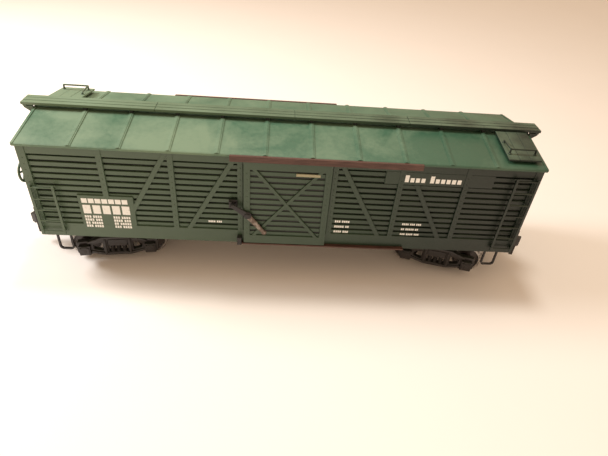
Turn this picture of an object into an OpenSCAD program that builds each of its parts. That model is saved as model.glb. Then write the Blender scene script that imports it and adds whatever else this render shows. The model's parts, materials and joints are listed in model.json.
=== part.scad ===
// HO scale outside-braced box car with sliding slatted doors, swivelling trucks and horn-hook couplers.
// +X is the A end, -X is the B end (hand brake), -Y is the right side, +Z is up, in millimetres.
// The origin is at the middle of the car, on the plane that the wheel flanges stand on.

/* [Body] */
// Length of the body over its end walls
body_l = 141.4; // [130:0.2:170]
// Width of the body over the side posts
body_w = 34.6; // [33:0.2:38]
// Height of the side sills' lower edge above the wheel flanges' lowest point
sill_z = 13; // [13:0.5:16]
// Height of the side walls, from sill to eave
wall_h = 29.4; // [28:0.2:34]
// Rise of the roof from its eave to its ridge
roof_rise = 2.8; // [2:0.2:5]
// Number of slats in each side, end and door
slat_n = 12; // [9:1:15]

/* [Doors] */
// Width of each sliding door
door_w = 24; // [20:1:26]
// Side clearance of a door in its tracks
door_gap = 0.25; // [0.2:0.05:0.4]

/* [Trucks] */
// Distance between the two truck pivots
truck_centres = 106; // [96:1:112]
// Distance between the two axles of a truck
wheelbase = 19.3; // [18:0.1:21]
// Angle that the A end's truck is swung out towards the right side in the rest position
truck_a_swing = 14.5; // [-20:0.5:20]
// Angle that the B end's truck is swung out towards the right side in the rest position
truck_b_swing = 8; // [-20:0.5:20]
// Radius of the wheel over its flange
flange_r = 5.45; // [5.2:0.05:5.6]
// Radius of the wheel on its tread
tread_r = 4.85; // [4.6:0.05:5]
// Distance between the inner faces of the two wheels on an axle
back_to_back = 14.4; // [14.2:0.05:14.6]

/* [Roof fittings] */
// Length of the running board
walk_l = 148; // [146:0.2:160]
// Width of the running board
walk_w = 5.2; // [4:0.1:7]

/* [Hidden] */
$fn = 48;
eps = 0.01;

// Body levels and faces, measured from the centre plane outwards
post_y = body_w / 2;
slat_y = post_y - 0.5;
gap_y = post_y - 1.1;
wall_in_y = post_y - 2;
wall_top_z = sill_z + wall_h;
sill_h = 4.6;
fascia_y = post_y - 0.15;
fascia_h = 2.6;
slat_z0 = sill_z + sill_h;
slat_z1 = wall_top_z - fascia_h;
slat_share = 0.65;
end_x = body_l / 2;
end_in_x = end_x - 1.5;
corner_w = 2.2;
post_w = 1.5;
brace_w = 1.3;

// Doorway and the posts, which stand at equal bays from the door to the corner
door_post_x = door_w / 2 + 1;
doorway_x = door_w / 2 - 1;
floor_top_z = sill_z + 3.7;
doorway_z0 = floor_top_z - 0.6;
doorway_z1 = slat_z1 - 0.3;
bay = (end_x - corner_w - door_post_x) / 3;
brace_top_dx = 0.9;
brace_foot_dx = 3.8;

// Roof plate, whose outer face falls from the ridge to the eave
roof_t = 0.9;
eave_y = post_y + 0.75;
eave_z = wall_top_z + 0.8;
ridge_z = eave_z + roof_rise;
roof_fall = roof_rise / eave_y;
roof_l = body_l + 0.6;
rib_n = 10;
rib_pitch = body_l / 11.2;
rib_w = 1.3;
rib_h = 0.35;
function roof_top(y) = ridge_z - roof_fall * abs(y);
function roof_under(y) = roof_top(y) - roof_t;

// Running board, side platforms and grab irons
walk_t = 0.8;
walk_top_z = ridge_z + 1.5;
plank_gap = 0.16;
platform_x0 = end_x - 10.6;
platform_l = 9.4;
platform_t = 0.5;
platform_lift = 0.4;
wire_r = 0.25;

// Doors and tracks, as distances from the centre plane
door_y0 = post_y + door_gap;
door_slat_y = door_y0 + 0.6;
door_y1 = door_y0 + 1;
door_z0 = sill_z + 1;
door_z1 = wall_top_z - 0.55;
door_rail_h = 2.9;
stile_w = 1.8;
track_flange_y = door_y1 + door_gap;
track_y1 = track_flange_y + 0.35;
track_x0 = -door_w / 2 - 3.6;
track_x1 = door_w * 1.5 + 0.2;

// Door lever, which turns on a pin in the door's leading stile
lever_x = -door_w / 2 + 1.15;
lever_z = sill_z + 11.3;
lever_handle = [4.8, -5.9];
lever_tail = [-4.1, 2.9];
lever_y0 = door_y1 + 0.2;
lever_t = 0.6;
lever_pin_r = 0.45;
lever_bore_r = 0.5;

// Ladders and steps
rung_r = 0.25;
ladder_w = 5.6;
ladder_x = end_x - 7.6;
ladder_stand = 0.7;
step_w = 4.4;
step_drop = 5.6;

// Hand brake on the B end
brake_y = -10.8;
brake_z = sill_z + 17.6;
brake_wheel_x = end_x + 3.1;
brake_wheel_r = 3.3;
brake_shaft_r = 0.5;

// Underframe, weight and floor
frame_z0 = sill_z + 0.4;
frame_t = 1.2;
frame_top_z = frame_z0 + frame_t;
weight_t = 1.2;
floor_t = 0.8;
centre_sill_z0 = sill_z - 1.4;
boss_z = sill_z - 1.8;

// Trucks: the bolster turns on a kingpin below the body's boss
truck_x = truck_centres / 2;
axle_z = flange_r;
wheel_in_y = back_to_back / 2;
wheel_w = 2.8;
wheel_out_y = wheel_in_y + wheel_w;
axle_r = 1;
seat_r = 0.9;
journal_r = 0.7;
journal_y = wheel_out_y + 1.4;
point_y = journal_y + 1.5;
frame_in_y = journal_y + 0.2;
sideframe_t = 1.6;
box_t = 1.1;
bolster_w = 5.6;
bolster_z0 = 6.4;
bolster_z1 = 8.6;
kingpin_r = 1.1;
kingpin_bore_r = 1.2;
kingpin_top_z = frame_top_z - 2;
pivot_top_z = boss_z - 0.1;

// Couplers, whose centre line stands at the usual height above the rail head
coupler_z = 10.5;
coupler_h = 2.2;
coupler_pin_z0 = 3.8;
pocket_x0 = 14.2;
pocket_x1 = 20.4;
pocket_w = 6.2;
pocket_wall = 0.7;
pocket_z0 = coupler_z - 1.7;
pocket_z1 = coupler_z + 1.3;
coupler_pivot_x = 16.6;
coupler_post_r = 0.8;
coupler_bore_r = 0.9;

green = "#3f5b45";
roof_green = "#4c7d63";
track_brown = "#5d4338";
black = "#262122";
wheel_grey = "#4a4444";
steel = "#8d8f92";
cream = "#cfcbb0";
wood = "#6b5b48";

// A box between two corners
module box(low, high) {
    translate(low) cube(high - low);
}

// The same thing on both sides, turned half a turn about Z
module both_sides() {
    children();
    rotate([0, 0, 180]) children();
}

// An upright plate in a plane of constant Y, from y0 outwards to y1 on the right (-Y) side
module right_plate(y0, y1) {
    translate([0, -y0, 0]) rotate([90, 0, 0]) linear_extrude(y1 - y0) children();
}

// An upright plate in a plane of constant X, from x0 to x1; its outline is drawn in Y and Z
module end_plate(x0, x1) {
    translate([x0, 0, 0]) rotate([90, 0, 90]) linear_extrude(x1 - x0) children();
}

// A straight bar in a 2D outline, between two points
module bar2d(a, b, w) {
    d = b - a;
    translate(a) rotate(atan2(d[1], d[0])) translate([0, -w / 2]) square([norm(d), w]);
}

// A bar cut off level at its top and foot
module brace2d(foot, top, w) {
    half = w / 2 * norm(top - foot) / abs(top[1] - foot[1]);
    polygon([
        foot - [half, 0], foot + [half, 0], top + [half, 0], top - [half, 0]
    ]);
}

// A row of slats from z0 to z1 between x0 and x1, each below its gap
module slats2d(x0, x1, z0, z1) {
    pitch = (z1 - z0) / slat_n;
    for (i = [0 : slat_n - 1])
        translate([x0, z0 + i * pitch]) square([x1 - x0, pitch * slat_share]);
}

// A round wire between two points
module wire(a, b, r = wire_r) {
    d = b - a;
    translate(a) rotate([0, acos(d[2] / norm(d)), atan2(d[1], d[0])])
        cylinder(h = norm(d), r = r, $fn = 24);
}

// ---------------------------------------------------------------- body walls

// The sill and the fascia under the eave
module side_sill2d() {
    translate([-end_x, sill_z]) square([body_l, sill_h]);
}

module side_fascia2d() {
    translate([-end_x, slat_z1]) square([body_l, fascia_h]);
}

// The number board low down at the left end, and the name board high up at the right
module number_board2d() {
    translate([-door_post_x - 2 * bay - 8, sill_z + 2.9]) square([15.2, 11.6]);
}

module name_board2d() {
    translate([door_post_x + 0.75 * bay, slat_z1 - 4]) square([1.66 * bay, 4 + eps]);
}

module side_posts2d() {
    for (s = [-1, 1]) {
        for (i = [0 : 2])
            translate([s * (door_post_x + i * bay) - post_w / 2, sill_z]) square([post_w, wall_h]);
        translate([s * (end_x - corner_w / 2) - corner_w / 2, sill_z]) square([corner_w, wall_h]);
    }
}

// Diagonals that fall outwards from the head of one post to the sill beside the next
module side_braces2d() {
    for (s = [-1, 1], i = [0 : 1])
        brace2d(
            [s * (door_post_x + (i + 1) * bay - brace_foot_dx), slat_z0 - eps],
            [s * (door_post_x + i * bay + brace_top_dx), wall_top_z],
            brace_w
        );
}

module doorway2d() {
    translate([-doorway_x, doorway_z0]) square([2 * doorway_x, doorway_z1 - doorway_z0]);
}

module side_wall() {
    color(green) difference() {
        union() {
            right_plate(wall_in_y, gap_y)
                translate([-end_x, sill_z]) square([body_l, wall_h]);
            for (s = [-1, 1])
                right_plate(gap_y - eps, slat_y)
                    slats2d(
                        s > 0 ? door_post_x : -end_x + 1, s > 0 ? end_x - 1 : -door_post_x,
                        slat_z0, slat_z1
                    );
            right_plate(gap_y - eps, fascia_y) {
                side_fascia2d();
                name_board2d();
            }
            right_plate(gap_y - eps, post_y) {
                side_sill2d();
                side_posts2d();
                number_board2d();
                difference() {
                    side_braces2d();
                    name_board2d();
                }
            }
        }
        right_plate(wall_in_y - 1, post_y + 1) doorway2d();
    }
}

module end_outline2d() {
    polygon([
        [-wall_in_y, sill_z], [wall_in_y, sill_z], [wall_in_y, roof_under(wall_in_y)],
        [0, roof_under(0)], [-wall_in_y, roof_under(wall_in_y)]
    ]);
}

module end_wall() {
    post = 5.4;
    color(green) {
        end_plate(end_in_x, end_x - 0.9) end_outline2d();
        end_plate(end_x - 0.9 - eps, end_x - 0.4)
            slats2d(-wall_in_y, wall_in_y, slat_z0, slat_z1);
        end_plate(end_x - 0.9 - eps, end_x) intersection() {
            end_outline2d();
            union() {
                translate([-wall_in_y, sill_z]) square([2 * wall_in_y, sill_h]);
                translate([-wall_in_y, slat_z1]) square([2 * wall_in_y, 10]);
                for (s = [-1, 1]) {
                    translate([s * post - post_w / 2, sill_z]) square([post_w, wall_h]);
                    brace2d(
                        [s * (wall_in_y - 1.6), slat_z0 - eps], [s * (post + 1.8), slat_z1 + eps], brace_w
                    );
                }
            }
        }
    }
}

// ---------------------------------------------------------------- roof

module roof_section(y1) {
    polygon([
        [-y1, roof_under(y1)], [0, roof_under(0)], [y1, roof_under(y1)],
        [y1, roof_top(y1)], [0, roof_top(0)], [-y1, roof_top(y1)]
    ]);
}

module roof_rib_section() {
    y1 = eave_y + 0.15;
    polygon([
        [-y1, roof_top(y1) - 0.7], [-y1, roof_top(y1) + rib_h], [0, roof_top(0) + rib_h],
        [y1, roof_top(y1) + rib_h], [y1, roof_top(y1) - 0.7],
        [eave_y - 1, roof_top(eave_y - 1) - 0.7], [0, roof_top(0) - 0.7],
        [1 - eave_y, roof_top(eave_y - 1) - 0.7]
    ]);
}

module roof() {
    color(roof_green) {
        end_plate(-roof_l / 2, roof_l / 2) roof_section(eave_y);
        for (i = [0 : rib_n - 1]) {
            x = (i - (rib_n - 1) / 2) * rib_pitch;
            end_plate(x - rib_w / 2, x + rib_w / 2) roof_rib_section();
        }
    }
}

module running_board() {
    plank = (walk_w - 2 * plank_gap) / 3;
    z0 = walk_top_z - walk_t;
    color(green) {
        for (i = [-1 : 1])
            translate([-walk_l / 2, i * (plank + plank_gap) - plank / 2, z0]) cube([walk_l, plank, walk_t]);
        for (i = [0 : rib_n - 1]) {
            x = (i - (rib_n - 1) / 2) * rib_pitch;
            end_plate(x - 0.5, x + 0.5) polygon([
                [-walk_w / 2, roof_top(walk_w / 2) + rib_h], [0, roof_top(0) + rib_h],
                [walk_w / 2, roof_top(walk_w / 2) + rib_h], [walk_w / 2, z0 + 0.2], [-walk_w / 2, z0 + 0.2]
            ]);
        }
        for (s = [-1, 1])
            translate([s * (walk_l / 2 - 1) - 0.5, -walk_w / 2, z0 - 0.4]) cube([1, walk_w, 0.4 + eps]);
    }
}

// Slanted brackets that carry the running board past the body's ends
module running_board_brackets() {
    z1 = walk_top_z - walk_t - 0.4;
    color(green) for (s = [-1, 1], t = [-1, 1])
        translate([0, t * (walk_w / 2 - 0.7) + 0.3, 0]) rotate([90, 0, 0]) linear_extrude(0.6)
            polygon([
                [s * end_x, z1 - 2.6], [s * (walk_l / 2 - 0.5), z1 - 0.5], [s * (walk_l / 2 - 0.5), z1],
                [s * (roof_l / 2), z1], [s * (roof_l / 2), z1 - 1.9], [s * end_x, z1 - 1.9]
            ]);
}

// A side platform at the A end, running from the board down the right slope of the roof
module lateral_platform() {
    y0 = walk_w / 2 + 0.3;
    y1 = post_y - 1.3;
    plank = (platform_l - 2 * plank_gap) / 3;
    lift = platform_lift + rib_h;
    color(green) {
        for (i = [0 : 2])
            end_plate(
                platform_x0 + i * (plank + plank_gap), platform_x0 + i * (plank + plank_gap) + plank
            ) polygon([
                [-y0, roof_top(y0) + lift], [-y1, roof_top(y1) + lift],
                [-y1, roof_top(y1) + lift + platform_t], [-y0, roof_top(y0) + lift + platform_t]
            ]);
        for (y = [y0 + 1, (y0 + y1) / 2, y1 - 1])
            end_plate(platform_x0, platform_x0 + platform_l) polygon([
                [-y - 0.5, roof_top(y + 0.5)], [-y - 0.5, roof_top(y + 0.5) + lift + eps],
                [-y + 0.5, roof_top(y - 0.5) + lift + eps], [-y + 0.5, roof_top(y - 0.5)]
            ]);
    }
}

// An L-shaped hand hold on each side platform, on three feet
module corner_grab_irons() {
    x0 = platform_x0 + 0.9;
    x1 = x0 + 7.2;
    y0 = -8.2;
    y1 = -13.4;
    rise = 0.6;
    function deck(y) = roof_top(y) + platform_lift + rib_h + platform_t;
    top = deck(y0) + rise;
    color(green) both_sides() {
        wire([x0, y0, deck(y0)], [x0, y0, top]);
        wire([x0, y1, deck(y1)], [x0, y1, top]);
        wire([x1, y1, deck(y1)], [x1, y1, top]);
        wire([x0, y0, top], [x0, y1, top]);
        wire([x0, y1, top], [x1, y1, top]);
        for (p = [[x0, y0], [x0, y1], [x1, y1]]) translate([p[0], p[1], top]) sphere(r = wire_r, $fn = 24);
    }
}

// ---------------------------------------------------------------- doors and tracks

module upper_track() {
    web_z = wall_top_z - 0.4;
    color(track_brown) end_plate(track_x0, track_x1) polygon([
        [-post_y, web_z], [-post_y, web_z + 0.25], [-eave_y - 0.25, web_z + 0.25],
        [-eave_y - 0.25, web_z + 1.2], [-track_y1, web_z + 1.2], [-track_y1, web_z - 0.5],
        [-track_flange_y, web_z - 0.5], [-track_flange_y, web_z]
    ]);
}

// A plain ledge under the door, no further out than its face
module lower_track() {
    web_z = door_z0 - 0.7;
    color(track_brown) end_plate(-door_w / 2 - 0.6, track_x1) polygon([
        [-post_y, web_z], [-post_y, web_z + 0.45], [-door_y1, web_z + 0.45], [-door_y1, web_z]
    ]);
}

// A stop block at the closed end of each lower track
module door_stops() {
    color(black) both_sides()
        box(
            [-door_w / 2 - 1.9, -track_y1 + 0.2, door_z0 - 0.7],
            [-door_w / 2 - 0.6, -post_y, door_z0 + 1.9]
        );
}

module sliding_door() {
    x1 = door_w / 2;
    z0 = door_z0 + door_rail_h;
    z1 = door_z1 - door_rail_h;
    color(green) difference() {
        union() {
            right_plate(door_y0, door_y0 + 0.4) translate([-x1, door_z0]) square([door_w, door_z1 - door_z0]);
            right_plate(door_y0 + 0.4 - eps, door_slat_y) slats2d(-x1 + 1, x1 - 1, z0, z1);
            right_plate(door_y0 + 0.4 - eps, door_y1) {
                for (s = [-1, 1]) {
                    translate([s * (x1 - stile_w / 2) - stile_w / 2, door_z0])
                        square([stile_w, door_z1 - door_z0]);
                    brace2d([s * (stile_w + 0.9 - x1), z0 - eps], [s * (x1 - stile_w - 0.9), z1 + eps], 0.9);
                }
                translate([-x1, door_z0]) square([door_w, door_rail_h]);
                translate([-x1, z1]) square([door_w, door_rail_h]);
            }
        }
        translate([lever_x, 0, lever_z]) rotate([90, 0, 0]) cylinder(h = 60, r = lever_pin_r);
        card_space(1);
    }
}

// The small cream board for waybill cards, on the door's top slat, where the brace is cut away for it
module card_space(depth) {
    box(
        [2.2, -door_slat_y - depth, door_z1 - door_rail_h - 1.45],
        [8.8, -door_slat_y, door_z1 - door_rail_h - 0.65]
    );
}

module card_board() {
    color(cream) card_space(0.35);
}

// A rivet through the door's stile with its head outside the lever
module lever_pin() {
    color(black) translate([lever_x, -door_y0, lever_z]) rotate([90, 0, 0]) {
        cylinder(h = lever_y0 + lever_t + 0.1 - door_y0, r = lever_pin_r);
        translate([0, 0, lever_y0 + lever_t + 0.1 - door_y0]) cylinder(h = 0.35, r1 = 0.85, r2 = 0.6);
    }
}

module door_lever() {
    color(black) difference() {
        translate([lever_x, 0, lever_z]) right_plate(lever_y0, lever_y0 + lever_t) {
            bar2d([0, 0], lever_handle, 1.1);
            translate(lever_handle) circle(r = 0.75);
            bar2d([0, 0], lever_tail, 1);
            translate(lever_tail) circle(r = 0.7);
            circle(r = 1.15);
        }
        translate([lever_x, 0, lever_z]) rotate([90, 0, 0]) cylinder(h = 60, r = lever_bore_r);
    }
}

// A bracket on each leading door post that the lever's tail catches
module latch_keepers() {
    x = lever_x + lever_tail[0];
    z = lever_z + lever_tail[1];
    color(black) both_sides() {
        box([x - 1.2, -post_y - 0.5, z - 1.3], [x + 1.2, -post_y, z + 1.3]);
        box([x - 1.1, -door_y1, z - 1.1], [x - 0.3, -post_y - 0.5 + eps, z + 1.1]);
    }
}

// ---------------------------------------------------------------- ladders and steps

// A ladder that stands off a wall: two stiles, rungs and feet, in X and Z, facing -Y at y = 0
module ladder(w, z0, z1, rungs, stiles = 2) {
    pitch = (z1 - z0 - 1.6) / (rungs - 1);
    for (i = [0 : stiles - 1])
        box([i * (w - 0.7), -ladder_stand - 0.45, z0], [i * (w - 0.7) + 0.7, -ladder_stand, z1]);
    for (i = [0 : rungs - 1])
        translate([0.35, -ladder_stand - 0.22, z0 + 0.8 + i * pitch]) rotate([0, 90, 0])
            cylinder(h = w - 0.7, r = rung_r, $fn = 24);
    for (i = [0 : stiles - 1], z = [z0 + 1, z1 - 1.5])
        box([i * (w - 0.7), -ladder_stand - eps, z], [i * (w - 0.7) + 0.7, 0, z + 0.5]);
}

module side_ladder() {
    color(green) translate([ladder_x, -post_y, 0]) ladder(ladder_w + 1.2, sill_z + 1.4, wall_top_z - 2.4, 7);
}

module short_ladder() {
    color(green) translate([-ladder_x - ladder_w - 1.2, -post_y, 0])
        ladder(ladder_w + 1.2, sill_z + 1.4, sill_z + 17.8, 5);
}

module end_ladder() {
    color(green) translate([end_x, -wall_in_y + 1, 0]) rotate([0, 0, 90])
        ladder(ladder_w + 0.6, sill_z + 1.4, wall_top_z - 2.4, 7);
}

// Stirrup steps that hang from the side sills at the four corners
module sill_steps() {
    x0 = ladder_x - 0.6;
    y0 = wall_in_y + 1;
    z0 = sill_z - step_drop;
    color(black) both_sides() for (s = [-1, 1]) {
        for (x = [x0, x0 + step_w - 0.6])
            box([s > 0 ? x : -x - 0.6, -y0 - 0.6, z0], [s > 0 ? x + 0.6 : -x, -y0, sill_z - eps]);
        box([s > 0 ? x0 : -x0 - step_w, -y0 - 0.9, z0], [s > 0 ? x0 + step_w : -x0, -y0, z0 + 0.6]);
    }
}

// ---------------------------------------------------------------- hand brake and air brake

module brake_housing() {
    color(green) difference() {
        union() {
            box([-end_x - 1.3, brake_y - 1.7, brake_z - 2.2], [-end_x, brake_y + 1.7, brake_z + 2]);
            translate([-end_x - 1.9, brake_y, brake_z]) rotate([0, 90, 0]) cylinder(h = 0.7, r = 1.3);
            box([-end_x - 0.6, brake_y - 0.35, sill_z + 2], [-end_x, brake_y + 0.35, brake_z - 2]);
        }
        translate([-end_x - 3, brake_y, brake_z]) rotate([0, 90, 0])
            cylinder(h = 2.6, r = brake_shaft_r + 0.05);
    }
}

// A spoked hand wheel on its shaft
module brake_wheel() {
    color(green) translate([-brake_wheel_x, brake_y, brake_z]) rotate([0, 90, 0]) {
        rotate_extrude($fn = 64) translate([brake_wheel_r - 0.35, 0]) circle(r = 0.35, $fn = 24);
        for (i = [0 : 4]) rotate([0, 0, i * 72])
            translate([0, -0.25, -0.2]) cube([brake_wheel_r - 0.3, 0.5, 0.4]);
        translate([0, 0, -0.45]) cylinder(h = 1, r = 0.8);
        cylinder(h = brake_wheel_x - end_x - 0.55, r = brake_shaft_r);
    }
}

// A lying tank with flanged ends, on two feet that reach up to the underframe
module tank(r, l, z) {
    translate([-l / 2, 0, z]) rotate([0, 90, 0]) cylinder(h = l, r = r);
    for (s = [-1, 1]) {
        translate([s * l / 2 - 0.3, 0, z]) rotate([0, 90, 0]) cylinder(h = 0.6, r = r + 0.3);
        box([s * l / 4 - 0.4, -r / 2, z], [s * l / 4 + 0.4, r / 2, frame_z0]);
    }
}

module brake_cylinder() {
    color(black) translate([-12.5 - 6, -7.6, 0]) {
        tank(2, 6.2, frame_z0 - 2.4);
        translate([3, 0, frame_z0 - 2.4]) rotate([0, 90, 0]) cylinder(h = 4.5, r = 0.4);
    }
}

module air_reservoir() {
    color(black) translate([0, 8, 0]) tank(2.1, 9.6, frame_z0 - 2.5);
}

module control_valve() {
    color(black) translate([19.5, -7, 0]) {
        box([-1.6, -1.3, frame_z0 - 2.6], [1.6, 1.3, frame_z0]);
        translate([0, 1.3, frame_z0 - 1.5]) rotate([-90, 0, 0]) cylinder(h = 1.5, r = 0.9);
        translate([1.5, 0, frame_z0 - 1.5]) rotate([0, 90, 0]) cylinder(h = 1.2, r = 0.8);
    }
}

// ---------------------------------------------------------------- underframe

module underframe() {
    x1 = end_in_x - 0.1;
    y1 = wall_in_y - 0.1;
    color(black) difference() {
        union() {
            box([-x1, -y1, frame_z0], [x1, y1, frame_top_z]);
            for (t = [-1, 1]) box([-46, t * 1.7 - 0.5, centre_sill_z0], [46, t * 1.7 + 0.5, frame_z0 + eps]);
            for (x = [-1.5, -0.5, 0.5, 1.5]) end_plate(x * 21 - 0.4, x * 21 + 0.4) polygon([
                [-y1, frame_z0 + eps], [-y1, frame_z0 - 0.6], [-2.2, centre_sill_z0 + 0.2],
                [2.2, centre_sill_z0 + 0.2], [y1, frame_z0 - 0.6], [y1, frame_z0 + eps]
            ]);
            for (s = [-1, 1]) {
                box([s * truck_x - 2, -y1, frame_z0 - 1], [s * truck_x + 2, y1, frame_z0 + eps]);
                translate([s * truck_x, 0, boss_z]) cylinder(h = frame_z0 - boss_z + eps, r = 3);
            }
        }
        for (s = [-1, 1]) translate([s * truck_x, 0, boss_z - 1])
            cylinder(h = kingpin_top_z - boss_z + 1, r = kingpin_r);
    }
}

module weight() {
    color(steel) box([-56, -11, frame_top_z], [56, 11, frame_top_z + weight_t]);
}

module floor_plate() {
    x1 = end_in_x - 0.1;
    y1 = wall_in_y - 0.1;
    color(wood) {
        box([-x1, -y1, floor_top_z - floor_t], [x1, y1, floor_top_z]);
        for (s = [-1, 1])
            box([-x1, s > 0 ? y1 - 1.5 : -y1, frame_top_z], [x1, s > 0 ? y1 : 1.5 - y1, floor_top_z]);
    }
}

// ---------------------------------------------------------------- trucks

// Pan-headed pins that hold the trucks to the body, with the driver slot cut across the head
module kingpins() {
    head_z = bolster_z0 - 1.1;
    color(steel) for (s = [-1, 1]) translate([s * truck_x, 0, 0]) difference() {
        union() {
            translate([0, 0, head_z]) cylinder(h = kingpin_top_z - head_z, r = kingpin_r);
            translate([0, 0, head_z]) cylinder(h = 1, r = 2);
        }
        translate([-3, -0.25, head_z - eps]) cube([6, 0.5, 0.45]);
    }
}

// The bolster with the arm that carries the coupler pocket, for the A end
module truck_bolster() {
    color(black) difference() {
        union() {
            box(
                [-bolster_w / 2, -frame_in_y - sideframe_t, bolster_z0],
                [bolster_w / 2, frame_in_y + sideframe_t, bolster_z1]
            );
            translate([0, 0, bolster_z0]) cylinder(h = bolster_z1 + 0.8 - bolster_z0, r = 4.6);
            translate([0, 0, bolster_z1]) cylinder(h = pivot_top_z - bolster_z1, r = 3);
            box([0, -2.4, 7.7], [pocket_x0 + 1, 2.4, 8.9]);
            box([pocket_x0, -pocket_w / 2, pocket_z0 - 0.3], [pocket_x1, pocket_w / 2, pocket_z0 + 0.5]);
            for (t = [-1, 1])
                box(
                    [pocket_x0, t > 0 ? pocket_w / 2 - pocket_wall : -pocket_w / 2, pocket_z0],
                    [pocket_x1, t > 0 ? pocket_w / 2 : pocket_wall - pocket_w / 2, pocket_z1]
                );
            box([pocket_x0, -pocket_w / 2, pocket_z0], [pocket_x0 + pocket_wall, pocket_w / 2, pocket_z1]);
            translate([coupler_pivot_x, 0, pocket_z0])
                cylinder(h = pocket_z1 - pocket_z0, r = coupler_post_r);
        }
        cylinder(h = 30, r = kingpin_bore_r);
    }
}

module coupler_lid() {
    color(black) difference() {
        box([pocket_x0, -pocket_w / 2, pocket_z1], [pocket_x1, pocket_w / 2, pocket_z1 + 0.6]);
        translate([coupler_pivot_x, 0, 0]) cylinder(h = 30, r = 0.5);
    }
}

// Head of a horn-hook coupler seen from above, pointing along +X from its pivot
module coupler_head2d() {
    polygon([
        [20.8, -1.1], [21.6, -1.1], [22.4, -2.2], [22.3, -4.4], [23.1, -4.9], [24, -2.5], [26.3, -1.8],
        [26.5, -0.8], [24.5, -0.5], [24.1, 0.8], [25.7, 1], [26.5, 2.2], [25.2, 3], [22.5, 2.7],
        [21.4, 1.1], [20.8, 1.1]
    ]);
}

// The coupler, with a shelf under its head that the uncoupling pin hangs from
module coupler() {
    z0 = coupler_z - coupler_h / 2;
    color(black) difference() {
        union() {
            translate([coupler_pivot_x, 0, z0]) cylinder(h = coupler_h, r = 1.5);
            box([coupler_pivot_x, -1.1, z0], [20.9, 1.1, z0 + coupler_h]);
            translate([0, 0, z0 - 0.5]) linear_extrude(coupler_h + 1) coupler_head2d();
            box([24.2, -1.6, z0 - 1], [26.1, 2.3, z0 - 0.5 + eps]);
            box([25, -0.5, coupler_pin_z0], [26.1, 0.9, z0 - 1 + eps]);
        }
        translate([coupler_pivot_x, 0, 0]) cylinder(h = 30, r = coupler_bore_r);
    }
}

// One cast side frame, facing -Y, with its spring window, journal boxes and bearing cups
module sideframe_outline2d(s) {
    polygon([
        [0, 10.1], [s * 4.4, 10.1], [s * 7.8, 8.5], [s * 11.6, 8.3], [s * 12, 7.7], [s * 12, 4.3],
        [s * 11.3, 3.5], [s * 8, 3.5], [s * 7.2, 3.9], [s * 4.5, 3.3], [s * 3.6, 3], [0, 3]
    ]);
}

module sideframe() {
    y1 = frame_in_y + sideframe_t;
    w = wheelbase / 2;
    color(black) difference() {
        union() {
            right_plate(frame_in_y, y1) for (s = [-1, 1]) sideframe_outline2d(s);
            for (s = [-1, 1]) {
                box([s * w - 1.7, -y1 - box_t, axle_z - 1.6], [s * w + 1.7, -y1 + eps, axle_z + 1.9]);
                translate([s * w, -y1 - box_t, axle_z + 0.1]) rotate([90, 0, 0]) cylinder(h = 0.4, r = 1.1);
                brace_at = [s * 3.6, 3.5];
                right_plate(y1 - eps, y1 + 0.5) {
                    bar2d([s * 4.2, 9.6], [s * 8.4, 7.9], 0.8);
                    bar2d(brace_at, [s * 7.8, 4.6], 0.8);
                }
            }
            right_plate(y1 - eps, y1 + 0.5) {
                translate([-4.4, 9.2]) square([8.8, 0.9]);
                translate([-4, 3]) square([8, 1]);
            }
            for (x = [-1.5, 0, 1.5]) translate([x, 0.8 - y1, 3.9])
                cylinder(h = bolster_z0 - 3.9, r = 0.7, $fn = 24);
        }
        right_plate(frame_in_y - 1, y1 + 1) {
            translate([-bolster_w / 2, bolster_z0]) square([bolster_w, bolster_z1 - bolster_z0]);
            for (s = [-1, 1])
                polygon([[s * 4.4, 7.9], [s * 7.3, 6.9], [s * 7.3, 5.3], [s * 4.4, 4.3]]);
        }
        for (x = [-2.25, -0.75, 0.75, 2.25])
            translate([x - 0.15, -y1 - 1, 4.3]) cube([0.3, 1.6, bolster_z0 - 4.7]);
        for (s = [-1, 1]) translate([s * w, -frame_in_y + eps, axle_z]) rotate([90, 0, 0])
            cylinder(h = 1.55, r1 = 0.76, r2 = 0.14);
    }
}

// Needle-pointed axle along Y, through the origin of the wheelset
module axle() {
    color(steel) rotate([90, 0, 0]) rotate_extrude() polygon([
        [0, -point_y], [0.08, -point_y], [journal_r, -journal_y], [journal_r, -wheel_out_y],
        [seat_r, -wheel_out_y], [seat_r, -wheel_in_y], [axle_r, -wheel_in_y], [axle_r, wheel_in_y],
        [seat_r, wheel_in_y], [seat_r, wheel_out_y], [journal_r, wheel_out_y], [journal_r, journal_y],
        [0.08, point_y], [0, point_y]
    ]);
}

module wheel_pair() {
    a = wheel_in_y;
    color(wheel_grey) for (s = [0, 180]) rotate([90, 0, s]) rotate_extrude($fn = 96) polygon([
        [seat_r, a], [2, a], [2, a + 0.5], [tread_r - 0.9, a + 0.5], [tread_r - 0.9, a], [flange_r - 0.35, a],
        [flange_r, a + 0.3], [flange_r - 0.1, a + 0.6], [tread_r + 0.05, a + 0.85],
        [tread_r - 0.05, a + wheel_w - 0.2], [tread_r - 0.2, a + wheel_w],
        [tread_r - 0.8, a + wheel_w], [tread_r - 1, a + wheel_w - 0.9],
        [2.1, a + wheel_w - 0.7], [1.8, a + wheel_w], [seat_r, a + wheel_w]
    ]);
}

// Where a truck stands: end is 1 for A and -1 for B
module at_truck(end) {
    swing = end > 0 ? -truck_a_swing : truck_b_swing;
    translate([end * truck_x, 0, 0]) rotate([0, 0, swing]) children();
}

// Turned about so that what points outwards at the A end points outwards at the B end too
module facing_out(end) {
    rotate([0, 0, end > 0 ? 0 : 180]) children();
}

// Where a wheelset stands: place is 1 for the outer axle and -1 for the inner one
module at_wheelset(end, place) {
    at_truck(end) translate([end * place * wheelbase / 2, 0, axle_z]) children();
}

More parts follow.
